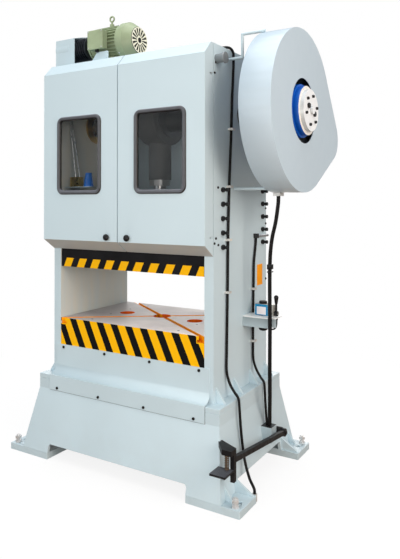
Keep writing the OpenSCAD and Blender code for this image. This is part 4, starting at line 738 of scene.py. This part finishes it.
class Lump:
    """Vertices and faces gathered from several shapes into one piece."""

    def __init__(self):
        self.v, self.f = [], []

    def add(self, verts, faces):
        n = len(self.v)
        self.v += [Vector(p) for p in verts]
        self.f += [[i + n for i in f] for f in faces]
        return self

    def rings(self, rings, loop=False):
        """Skin over rings of points, closed by end caps or, as a loop, onto its first ring."""
        n, m = len(self.v), len(rings[0])
        for r in rings:
            self.v += [Vector(p) for p in r]
        last = len(rings) if loop else len(rings) - 1
        for i in range(last):
            j = (i + 1) % len(rings)
            for k in range(m):
                q = (k + 1) % m
                self.f.append([n + i * m + k, n + i * m + q, n + j * m + q, n + j * m + k])
        if not loop:
            self.f.append([n + k for k in range(m)][::-1])
            self.f.append([n + (len(rings) - 1) * m + k for k in range(m)])
        return self

    def lathe(self, at, way, profile, sides):
        """Turned shape: profile holds (distance along way, radius)."""
        way = Vector(way).normalized()
        u = way.orthogonal().normalized()
        w = way.cross(u)
        at = Vector(at)
        return self.rings([circle(at + way * h, u, w, max(r, LEAST_R), sides) for h, r in profile])

    def box(self, low, high, edge):
        """Box with rounded edges."""
        lo, hi = Vector(low), Vector(high)
        bm = bmesh.new()
        bmesh.ops.create_cube(bm, size=1.0)
        for v in bm.verts:
            v.co = Vector(lo[i] + (v.co[i] + 0.5) * (hi[i] - lo[i]) for i in range(3))
        bmesh.ops.bevel(bm, geom=bm.edges[:], offset=edge, segments=2, affect="EDGES", profile=0.6)
        bm.verts.index_update()
        self.add([v.co.copy() for v in bm.verts], [[v.index for v in f.verts] for f in bm.faces])
        bm.free()
        return self

    def make(self, name, mat, **kw):
        return piece(name, self.v, self.f, mat, **kw)


SPAN_STEPS, LAST_STEP_SHARE, TINY = 24, 0.3, 1e-9


def dense_route(points):
    """Close points on a rounded curve through points given in millimetres."""
    p = [Vector(q) / MM_PER_M for q in points]
    p = [2 * p[0] - p[1]] + p + [2 * p[-1] - p[-2]]
    dense = []
    for i in range(1, len(p) - 2):
        a, b, c, d = p[i - 1:i + 3]
        span = (c - b).length
        ma = (c - a) / max((c - b).length + (b - a).length, TINY) * span
        mb = (d - b) / max((d - c).length + (c - b).length, TINY) * span
        for k in range(SPAN_STEPS):
            t = k / SPAN_STEPS
            h1 = (1 + 2 * t) * (1 - t) ** 2
            h2 = t * t * (3 - 2 * t)
            dense.append(b * h1 + c * h2 + ma * (t * (1 - t) ** 2) + mb * (-t * t * (1 - t)))
    dense.append(p[-2])
    return dense


def smooth_route(points, step):
    """Even points, one step apart, on a rounded curve through the given ones."""
    dense = dense_route(points)
    out, left = [dense[0]], step
    for a, b in zip(dense, dense[1:]):
        d = (b - a).length
        while d >= left and d > 0:
            a = a + (b - a) * (left / d)
            out.append(a)
            d = (b - a).length
            left = step
        left -= d
    if (out[-1] - dense[-1]).length > step * LAST_STEP_SHARE:
        out.append(dense[-1])
    return out


def tube(route, radius, sides=12):
    """Tube along route; radius is a number or a function of the ring's number."""
    n = len(route)
    ways = [(route[min(i + 1, n - 1)] - route[max(i - 1, 0)]).normalized() for i in range(n)]
    u = ways[0].orthogonal().normalized()
    rings = []
    for i in range(n):
        u = (u - ways[i] * u.dot(ways[i])).normalized()
        r = radius(i) if callable(radius) else radius
        rings.append(circle(route[i], u, ways[i].cross(u), r, sides))
    return Lump().rings(rings)


def disc(height, r):
    """Profile of a plain turned disc."""
    return [(0.0, 0.0), (0.0, r), (height, r), (height, 0.0)]


# Conduits: corrugated tubes on the routes that the clips hold, in millimetres

ROUTES = {
    "conduit_front": [
        (560, -196, 2713), (620, -196, 2713), (640, -190, 2713), (656, -180, 2709), (667, -168, 2695),
        (669, -155, 2675), (666, -149, 2650), (664, -145, 2605), (663, -148, 2550), (663, -152, 2490),
        (662, -160, 2400), (662, -171, 2200), (662, -198, 1840), (662, -214, 1510), (662, -221, 1187),
        (662, -232, 820), (664, -236, 699), (684, -234, 630), (716, -231, 580), (740, -229, 548),
        (748, -231, 500), (760, -236, 380), (776, -239, 257), (800, -255, 180), (845, -288, 110),
        (874, -304, 82), (886, -309, 66), (888, -310, 54), (888, -310, 42)],
    "conduit_rear": [
        (662, 186, 1500), (662, 186, 1485), (662, 180, 1450), (662, 155, 1340), (662, 147, 1163),
        (662, 140, 990), (662, 139, 816), (664, 140, 690), (684, 142, 628), (716, 142, 578), (740, 142, 548),
        (746, 142, 500), (752, 138, 420), (766, 124, 330), (773, 116, 298), (773, 116, 284)],
    "conduit_hanging": [
        (905, -5, 1782), (905, -5, 1768), (904, -8, 1730), (890, -14, 1620), (868, -18, 1520),
        (855, -18, 1420), (849, -14, 1300), (847, -10, 1100), (847, -8, 1000), (846, -6, 900), (842, 0, 700),
        (830, 28, 500), (810, 70, 380), (799, 94, 320), (797, 98, 298), (797, 98, 284)],
}
SECOND_BEHIND = 19
RIB_STEP, RIB_CREST_R, RIB_GROOVE_R = 0.0021, 0.0089, 0.0080
TIE_X, TIE_Y, TIE_EDGE = (0.8375, 0.8645), (-0.0265, 0.0185), 0.003
TIE_BANDS = ((1.318, 0.032), (1.298, 0.008))


def rib(ring):
    return RIB_CREST_R if ring % 2 else RIB_GROOVE_R


ROUTES["conduit_hanging_second"] = [(x, y + SECOND_BEHIND, z) for x, y, z in ROUTES["conduit_hanging"]]
for name, points in ROUTES.items():
    made = tube(smooth_route(points, RIB_STEP), rib).make(
        name, conduit_black, slot="conduit_black", smooth=80.0)
    if name == "conduit_front":
        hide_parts("conduits")

tie = Lump()
for z, height in TIE_BANDS:
    tie.box((TIE_X[0], TIE_Y[0], z), (TIE_X[1], TIE_Y[1], z + height), TIE_EDGE)
tie.make("conduit_tie", black_plastic, slot="black_plastic")


# Window gaskets: a rubber bead with a locking strip, swept round the window

WINDOW_X, WINDOW_Z, WINDOW_HALF, WINDOW_R = 0.328, 2.058, (0.194, 0.2635), 0.048
WINDOW_FACE, CORNER_STEPS = -0.4791, 12
BEAD = [  # inset from the window's outline, height above the door
    (0.0, 0.0), (0.0002, 0.0032), (0.0018, 0.0064), (0.0050, 0.0084), (0.0090, 0.0090), (0.0118, 0.0088),
    (0.0126, 0.0076), (0.0142, 0.0076), (0.0150, 0.0087), (0.0190, 0.0084), (0.0238, 0.0066),
    (0.0268, 0.0036), (0.0279, 0.0), (0.0279, -0.0118), (0.0141, -0.0118), (0.0141, -0.0002)]


def window_ring(middle, inset, height):
    """Rounded rectangle inset from the window's outline, at a height above the door."""
    r = WINDOW_R - inset
    half_x, half_z = (half - inset - r for half in WINDOW_HALF)
    out = []
    for q, (sx, sz) in enumerate(((1, 1), (-1, 1), (-1, -1), (1, -1))):
        for k in range(CORNER_STEPS + 1):
            a = math.radians(90 * q + 90 * k / CORNER_STEPS)
            out.append((middle + sx * half_x + r * math.cos(a), WINDOW_FACE - height,
                        WINDOW_Z + sz * half_z + r * math.sin(a)))
    return out


for side, middle in (("left", -WINDOW_X), ("right", WINDOW_X)):
    outlines = [window_ring(middle, inset, height) for inset, height in BEAD]
    Lump().rings(list(zip(*outlines)), loop=True).make(
        f"{side}_window_gasket", gasket_rubber, body=f"{side}_door", slot="black_rubber", smooth=35.0,
        replaces=[f"{side}_gasket"])


# Latch knobs: a turned dome with a raised grip, a shank and a tongue

KNOB_FACE = -0.4793
KNOB_DOME = [
    (0.0, 0.0), (0.0, 0.0150), (0.003, 0.0160), (0.006, 0.0196), (0.010, 0.0214), (0.014, 0.0215),
    (0.018, 0.0200), (0.0215, 0.0166), (0.0240, 0.0115), (0.0254, 0.0060), (0.0258, 0.0)]
KNOB_SHANK = [(-0.001, 0.0), (-0.001, 0.0068), (0.0086, 0.0068), (0.0086, 0.0)]
GRIP_HALF_W, GRIP_HALF_H, GRIP_Y, GRIP_EDGE = 0.0042, 0.0125, (-0.5065, -0.4975), 0.0018
TONGUE_HALF_W, TONGUE_Y, TONGUE_Z, TONGUE_EDGE = 0.007, (-0.4757, -0.4707), (1.509, 1.555), 0.0008

for side, x in (("left", -KNOB_X), ("right", KNOB_X)):
    knob = Lump().lathe((x, KNOB_FACE, KNOB_Z), FRONT, KNOB_DOME, sides=40)
    knob.box((x - GRIP_HALF_W, GRIP_Y[0], KNOB_Z - GRIP_HALF_H),
             (x + GRIP_HALF_W, GRIP_Y[1], KNOB_Z + GRIP_HALF_H), GRIP_EDGE)
    knob.lathe((x, KNOB_FACE, KNOB_Z), BACK, KNOB_SHANK, sides=24)
    knob.box((x - TONGUE_HALF_W, TONGUE_Y[0], TONGUE_Z[0]),
             (x + TONGUE_HALF_W, TONGUE_Y[1], TONGUE_Z[1]), TONGUE_EDGE)
    knob.make(f"{side}_latch_knob", black_plastic, body=f"{side}_knob", slot="black_plastic",
              replaces=[f"{side}_knob"])


# Treadle return spring: a wound wire with closed end turns, between the bracket and the pedal

WIRE_R, COIL_R, SPRING_X, SPRING_Y = 0.0025, 0.011, 0.8248, -0.534
SPRING_LOW, SPRING_HIGH, TURNS, TURN_STEPS = 0.2568, 0.3335, 9.0, 28
CLOSED_SHARE, CLOSED_RISE, HELD_END = 0.08, 0.1, 0.003


def spring_rise(t):
    """Height along the spring, from 0 to 1, that climbs slowly over the closed turns at both ends."""
    open_part = min(max((t - CLOSED_SHARE) / (1 - 2 * CLOSED_SHARE), 0.0), 1.0)
    return open_part * (1 - CLOSED_RISE) + CLOSED_RISE * t


helix = []
for k in range(int(TURNS * TURN_STEPS) + 1):
    t = k / (TURNS * TURN_STEPS)
    a = 2 * math.pi * TURNS * t
    helix.append(Vector((SPRING_X + COIL_R * math.cos(a), SPRING_Y + COIL_R * math.sin(a),
                         SPRING_LOW + (SPRING_HIGH - SPRING_LOW) * spring_rise(t))))
spring = tube(helix, WIRE_R, sides=10).make(
    "treadle_return_spring", spring_steel, body=None, slot="spring_steel", replaces=["treadle_spring"])
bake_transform(spring)


# Lubricator: cast block with a bare label, filler cap, oil bowl under the shelf and its return pipe

Box = namedtuple("Box", "low high edge")
PUMP_BLOCK = Box((0.712, 0.0645, 1.0052), (0.806, 0.120, 1.080), 0.004)
PUMP_PORT = Box((0.795, 0.068, 1.044), (0.8085, 0.088, 1.064), 0.002)
LEVER_HOUSING = Box((0.804, 0.069, 1.0055), (0.8385, 0.117, 1.078), 0.006)
LEVER_SPINDLE_X = 0.806
LEVER_SPINDLE = [(-0.002, 0.0), (-0.002, 0.016), (0.0327, 0.016), (0.0337, 0.0145), (0.0337, 0.008),
                 (0.060, 0.008), (0.060, 0.0)]
PUMP_LABEL = Box((0.7145, 0.0615, 1.0075), (0.8035, 0.0650, 1.0775), 0.0012)
LABEL_FIELD = Box((0.7265, 0.0608, 1.0125), (0.7915, 0.0620, 1.0625), 0.0005)
BOWL_X, BOWL_Y, BOWL_Z, CAP_Z = 0.759, LEVER_Y, 1.0045, 1.0795
CAP = [(0.0, 0.0), (0.0, 0.0265), (0.003, 0.0265), (0.0035, 0.0250), (0.015, 0.0250), (0.0178, 0.0225),
       (0.0180, 0.0)]
CAP_RIBS, CAP_RIB_RING, CAP_RIB_Z = 24, 0.0252, 1.0835
CAP_RIB = [(0.0, 0.0), (0.0, 0.0012), (0.010, 0.0012), (0.0105, 0.0)]
BOWL = [(0.0, 0.0), (0.0, 0.031), (0.010, 0.031), (0.011, 0.0300), (0.016, 0.0300), (0.017, 0.031),
        (0.080, 0.031), (0.090, 0.0295), (0.097, 0.025), (0.101, 0.016), (0.1015, 0.0)]
RETURN_ROUTE = [(786, 92, 922), (812, 90, 917), (836, 86, 921), (853, 81, 936), (860, 78, 962),
                (860, 78, 998)]
RETURN_STEP, RETURN_R = 0.004, 0.0050
RETURN_NUT_AT, RETURN_NUT = (0.860, 0.078, 0.984), disc(0.0145, 0.0085)
SHELF_END = (Box((0.8290, 0.0300, 0.9985), (0.8760, 0.1260, 1.0050), 0.0015),
             Box((0.8290, 0.0300, 0.9420), (0.8760, 0.0350, 1.0000), 0.0012))

pump = Lump().box(*PUMP_BLOCK)
pump.lathe((LEVER_SPINDLE_X, LEVER_Y, LEVER_Z), RIGHT, LEVER_SPINDLE, sides=28)
pump.box(*PUMP_PORT)
pump.box(*LEVER_HOUSING)
pump.make("pump_block", pump_metal, slot="pump_metal", replaces=["lubricator_pump"])
Lump().box(*PUMP_LABEL).make("pump_label", label_blue, slot="blue_plastic")
Lump().box(*LABEL_FIELD).make("pump_label_field", label_white, slot="pump_metal")

cap = Lump().lathe((BOWL_X, BOWL_Y, CAP_Z), UP, CAP, sides=36)
for k in range(CAP_RIBS):
    a = 2 * math.pi * k / CAP_RIBS
    foot = (BOWL_X + CAP_RIB_RING * math.cos(a), BOWL_Y + CAP_RIB_RING * math.sin(a), CAP_RIB_Z)
    cap.lathe(foot, UP, CAP_RIB, sides=6)
cap.make("pump_cap", black_plastic, slot="black_plastic")
Lump().lathe((BOWL_X, BOWL_Y, BOWL_Z), DOWN, BOWL, sides=40).make(
    "pump_bowl", black_plastic, slot="black_plastic")

shelf_end = Lump()
for part in SHELF_END:
    shelf_end.box(*part)
shelf_end.make("shelf_end", shelf_paint, slot="frame_paint")
pipe = tube(smooth_route(RETURN_ROUTE, RETURN_STEP), RETURN_R)
pipe.lathe(RETURN_NUT_AT, UP, RETURN_NUT, sides=6)
pipe.make("pump_return_pipe", conduit_black, slot="conduit_black", smooth=50.0)


# Steel tube from the rear conduit's top gland to the column's rear edge

FEED_AT = (0.664, 0.199, 1.512)
FEED = [(0.0, 0.0), (0.0, 0.0125), (0.014, 0.0125), (0.015, 0.0085), (0.160, 0.0085), (0.160, 0.0105),
        (0.172, 0.0105), (0.173, 0.0095), (0.173, 0.0)]

Lump().lathe(FEED_AT, BACK, FEED, sides=24).make(
    "feed_tube", bright_steel, slot="bright_steel", smooth=50.0)


# Screws, tapped holes and plates on the frame and the clutch

COLUMN_SIDE = 0.650
SIDE_SCREWS = [(-351, 2587), (-365, 2520), (-323, 1832), (-349, 1525), (-367, 1496), (-320, 1484),
               (366, 1700), (366, 1593), (366, 1205)]
SIDE_SCREW_R, SIDE_SCREW_H = 0.0075, 0.006
TAPPED_HOLES, TAPPED_Z = ((365, -97), (360, 124), (322, 297), (357, -309)), 0.9318
TAPPED_RIM = [(0.0, 0.0), (0.0, 0.0085), (0.0005, 0.0080), (0.0004, 0.0062), (0.00025, 0.0)]
SIDE_PLATE = Box((0.6501, 0.226, 1.172), (0.6517, 0.310, 1.315), 0.0005)
RIVETS_X, RIVETS_Y, RIVETS_Z = 0.6515, (0.234, 0.302), (1.180, 1.307)
RIVET = [(0.0, 0.0), (0.0, 0.003), (0.0008, 0.0024), (0.0012, 0.0)]
CLUTCH_BOLT_X, CLUTCH_BOLT_R, CLUTCH_BOLT_H = 1.1325, 0.0086, 0.004
AIR_NUTS, AIR_NUT_X = ((-0.052, 0.022), (0.046, -0.018)), 1.1235
AIR_NUT = [(0.0, 0.0), (0.0, 0.0165), (0.012, 0.0165), (0.0135, 0.0150), (0.0135, 0.0)]
SCREW_SUNK = 0.0005


def cap_screw(lump, at, way, r, h, sides=20):
    """Screw head with a chamfer and a round socket."""
    head = [(-SCREW_SUNK, 0.0), (-SCREW_SUNK, r), (h * 0.65, r), (h * 0.9, r * 0.9), (h, r * 0.75)]
    socket = [(h, r * 0.5), (h * 0.45, r * 0.46), (h * 0.45, 0.0)]
    return lump.lathe(at, way, head + socket, sides)


screws = Lump()
for y, z in SIDE_SCREWS:
    for s in (1, -1):
        at = (s * COLUMN_SIDE, y / MM_PER_M, z / MM_PER_M)
        cap_screw(screws, at, (s, 0, 0), SIDE_SCREW_R, SIDE_SCREW_H)
screws.make("side_screws", black_oxide, slot="black_screws")

# Painted shade: thin black discs on the bolster's top stand in for the dark insides of the tapped holes
taps = Lump()
for x, y in TAPPED_HOLES:
    for s in (1, -1):
        taps.lathe((s * x / MM_PER_M, y / MM_PER_M, TAPPED_Z), UP, TAPPED_RIM, sides=24)
taps.make("bolster_tapped_holes", black_oxide, slot="black_screws")

plate = Lump().box(*SIDE_PLATE)
for z in RIVETS_Z:
    for y in RIVETS_Y:
        plate.lathe((RIVETS_X, y, z), RIGHT, RIVET, sides=14)
plate.make("side_plate", orange_paint, slot="stripe_paint")

bolts = Lump()
for k in range(CLUTCH_BOLTS):
    a = math.radians(CLUTCH_BOLT_TURN + CLUTCH_BOLT_STEP * k)
    at = (CLUTCH_BOLT_X, CLUTCH_BOLT_RING * math.cos(a), CRANK_Z + CLUTCH_BOLT_RING * math.sin(a))
    cap_screw(bolts, at, RIGHT, CLUTCH_BOLT_R, CLUTCH_BOLT_H)
for y, up in AIR_NUTS:
    bolts.lathe((AIR_NUT_X, y, CRANK_Z + up), RIGHT, AIR_NUT, sides=6)
bolts.make("clutch_bolts", black_oxide, body="bull_gear", slot="black_screws")


# Motor fittings: lid screws, cowl screws, a black disc of painted shade and a plug in the cowl, cable gland

LID_SCREWS_X, LID_SCREWS_Z, LID_FACE = (-0.380, -0.264), (2.812, 2.924), -0.327
LID_SCREW_R, COWL_SCREW_R, MOTOR_SCREW_H = 0.0048, 0.006, 0.004
COWL_SCREWS, COWL_SCREWS_X, COWL_R = 4, -0.177, 0.132
SHADOW_DISC_X, SHADOW_DISC = -0.0795, disc(0.0030, 0.084)
PLUG_X, PLUG = -0.0735, [(0.0, 0.0), (0.0, 0.019), (0.0022, 0.019), (0.0030, 0.0178), (0.0030, 0.0)]
GLAND_AT = (-0.322, -0.303, 2.8052)
GLAND = [(0.0, 0.0), (0.0, 0.0135), (0.007, 0.0135), (0.0075, 0.0115), (0.010, 0.0115), (0.0105, 0.0130),
         (0.019, 0.0130), (0.022, 0.0085), (0.0225, 0.0)]

fit = Lump()
for x in LID_SCREWS_X:
    for z in LID_SCREWS_Z:
        cap_screw(fit, (x, LID_FACE, z), FRONT, LID_SCREW_R, MOTOR_SCREW_H, sides=14)
for k in range(COWL_SCREWS):
    a = 2 * math.pi * (k + 0.5) / COWL_SCREWS
    way = Vector((0, math.cos(a), math.sin(a)))
    foot = Vector((COWL_SCREWS_X, MOTOR_Y, MOTOR_Z)) + way * COWL_R
    cap_screw(fit, foot, way, COWL_SCREW_R, MOTOR_SCREW_H, sides=14)
fit.make("motor_screws", bright_steel, slot="bright_steel")
# Painted shade: a black disc behind the cowl's slots makes them look dark all through
Lump().lathe((SHADOW_DISC_X, MOTOR_Y, MOTOR_Z), RIGHT, SHADOW_DISC, sides=40).make(
    "cowl_shadow_disc", black_plastic, slot="black_plastic")
Lump().lathe((PLUG_X, MOTOR_Y, MOTOR_Z), RIGHT, PLUG, sides=24).make(
    "cowl_plug", black_plastic, slot="black_plastic")
Lump().lathe(GLAND_AT, DOWN, GLAND, sides=6).make("motor_gland", black_plastic, slot="black_plastic")


# Stage: a floor and sky that the camera sees as white and that light the part softly

WHITE = (1, 1, 1, 1)
SKY_COLOR, SKY_POWER = (0.90, 0.96, 1.0, 1), 0.46
FLOOR_HALF, FLOOR_BOUNCE = 40, (0.34, 0.275, 0.23, 1)
SHADOW_NEAR, SHADOW_FAR, SHADOW_WHITE = 1.1, 3.2, 0.86


def ray_mix(tree, first, second):
    """Second shader where the camera looks straight at it, first for all other rays."""
    path = tree.nodes.new("ShaderNodeLightPath")
    mixer = tree.nodes.new("ShaderNodeMixShader")
    tree.links.new(path.outputs["Is Camera Ray"], mixer.inputs[0])
    tree.links.new(first.outputs[0], mixer.inputs[1])
    tree.links.new(second.outputs[0], mixer.inputs[2])
    return mixer


def studio():
    """World that gives a weak cool light and looks white."""
    world = bpy.data.worlds.new("studio")
    world.use_nodes = True
    tree = world.node_tree
    soft = tree.nodes["Background"]
    soft.inputs[0].default_value = SKY_COLOR
    soft.inputs[1].default_value = SKY_POWER
    white = tree.nodes.new("ShaderNodeBackground")
    white.inputs[0].default_value = WHITE
    tree.links.new(ray_mix(tree, soft, white).outputs[0], tree.nodes["World Output"].inputs[0])
    return world


def floor_mat():
    """White floor that keeps a faint shadow near the part and throws warm light back."""
    mat = bpy.data.materials.new("floor")
    mat.use_nodes = True
    tree = mat.node_tree
    tree.nodes.remove(tree.nodes["Principled BSDF"])
    bounce = tree.nodes.new("ShaderNodeBsdfDiffuse")
    bounce.inputs[0].default_value = FLOOR_BOUNCE
    shown = tree.nodes.new("ShaderNodeBsdfDiffuse")
    shown.inputs[0].default_value = WHITE
    glow = tree.nodes.new("ShaderNodeEmission")
    glow.inputs[0].default_value = WHITE
    glow.inputs[1].default_value = 1.0
    distance = tree.nodes.new("ShaderNodeVectorMath")
    distance.operation = "LENGTH"
    tree.links.new(tree.nodes.new("ShaderNodeTexCoord").outputs["Object"], distance.inputs[0])
    fade = tree.nodes.new("ShaderNodeMapRange")
    for k, v in enumerate((SHADOW_NEAR, SHADOW_FAR, SHADOW_WHITE, 1.0), start=1):
        fade.inputs[k].default_value = v
    pale = tree.nodes.new("ShaderNodeMixShader")
    tree.links.new(distance.outputs["Value"], fade.inputs[0])
    tree.links.new(fade.outputs[0], pale.inputs[0])
    tree.links.new(shown.outputs[0], pale.inputs[1])
    tree.links.new(glow.outputs[0], pale.inputs[2])
    tree.links.new(ray_mix(tree, bounce, pale).outputs[0], tree.nodes["Material Output"].inputs[0])
    return mat


scene.world = studio()
floor_mesh = bpy.data.meshes.new("floor")
corners = [(x * FLOOR_HALF, y * FLOOR_HALF, 0) for x, y in ((-1, -1), (1, -1), (1, 1), (-1, 1))]
floor_mesh.from_pydata(corners, [], [(0, 1, 2, 3)])
floor_mesh.materials.append(floor_mat())
floor = bpy.data.objects.new("floor", floor_mesh)
scene.collection.objects.link(floor)


# Lights

MIDDLE = (0.0, 0.0, 1.1)
LIGHTS = {
    "key": dict(at=(-2.2, -6.0, 2.6), to=MIDDLE, size=(4.5, 3.5), power=94, color=(0.95, 0.985, 1.0)),
    "fill": dict(at=(2.6, -5.2, 1.5), to=MIDDLE, size=(2.5, 2.5), power=88, color=(1.0, 0.92, 0.83)),
    "side": dict(at=(6.5, -2.2, 3.6), to=(0.6, 0.0, 1.6), size=(3.5, 4.0), power=262,
                 color=(1.0, 0.87, 0.77)),
    "rear": dict(at=(-2.4, 5.6, 2.3), to=MIDDLE, size=(7.5, 4.4), power=285, color=(1.0, 0.95, 0.91)),
    "top": dict(at=(0.3, -0.6, 6.6), to=(0.0, 0.0, 1.0), size=(5.0, 5.0), power=195, color=(1, 1, 1)),
}


def area(name, at, to, size, power, color):
    light = bpy.data.lights.new(name, "AREA")
    light.shape = "RECTANGLE"
    light.size, light.size_y = size
    light.energy = power
    light.color = color
    obj = bpy.data.objects.new(name, light)
    obj.location = at
    obj.rotation_euler = (Vector(to) - Vector(at)).to_track_quat("-Z", "Y").to_euler()
    scene.collection.objects.link(obj)


for name, settings in LIGHTS.items():
    area(name, **settings)


# Camera fitted to the photograph

PHOTO_H, FOCAL_PX, CENTRE_PX = 559, 583.1, 197.13
SENSOR, CLIP_END = 36.0, 200
EYE_AT = (2.3715, -3.4046, 1.7469)
EYE_TILT, EYE_TURN = 90.44, 30.94

cam = bpy.data.cameras.new("camera")
cam.sensor_width = SENSOR
cam.lens = FOCAL_PX / PHOTO_H * SENSOR
cam.shift_y = (CENTRE_PX - PHOTO_H / 2) / PHOTO_H
cam.clip_end = CLIP_END
eye = bpy.data.objects.new("camera", cam)
eye.location = EYE_AT
eye.rotation_euler = (math.radians(EYE_TILT), 0.0, math.radians(EYE_TURN))
scene.collection.objects.link(eye)
scene.camera = eye
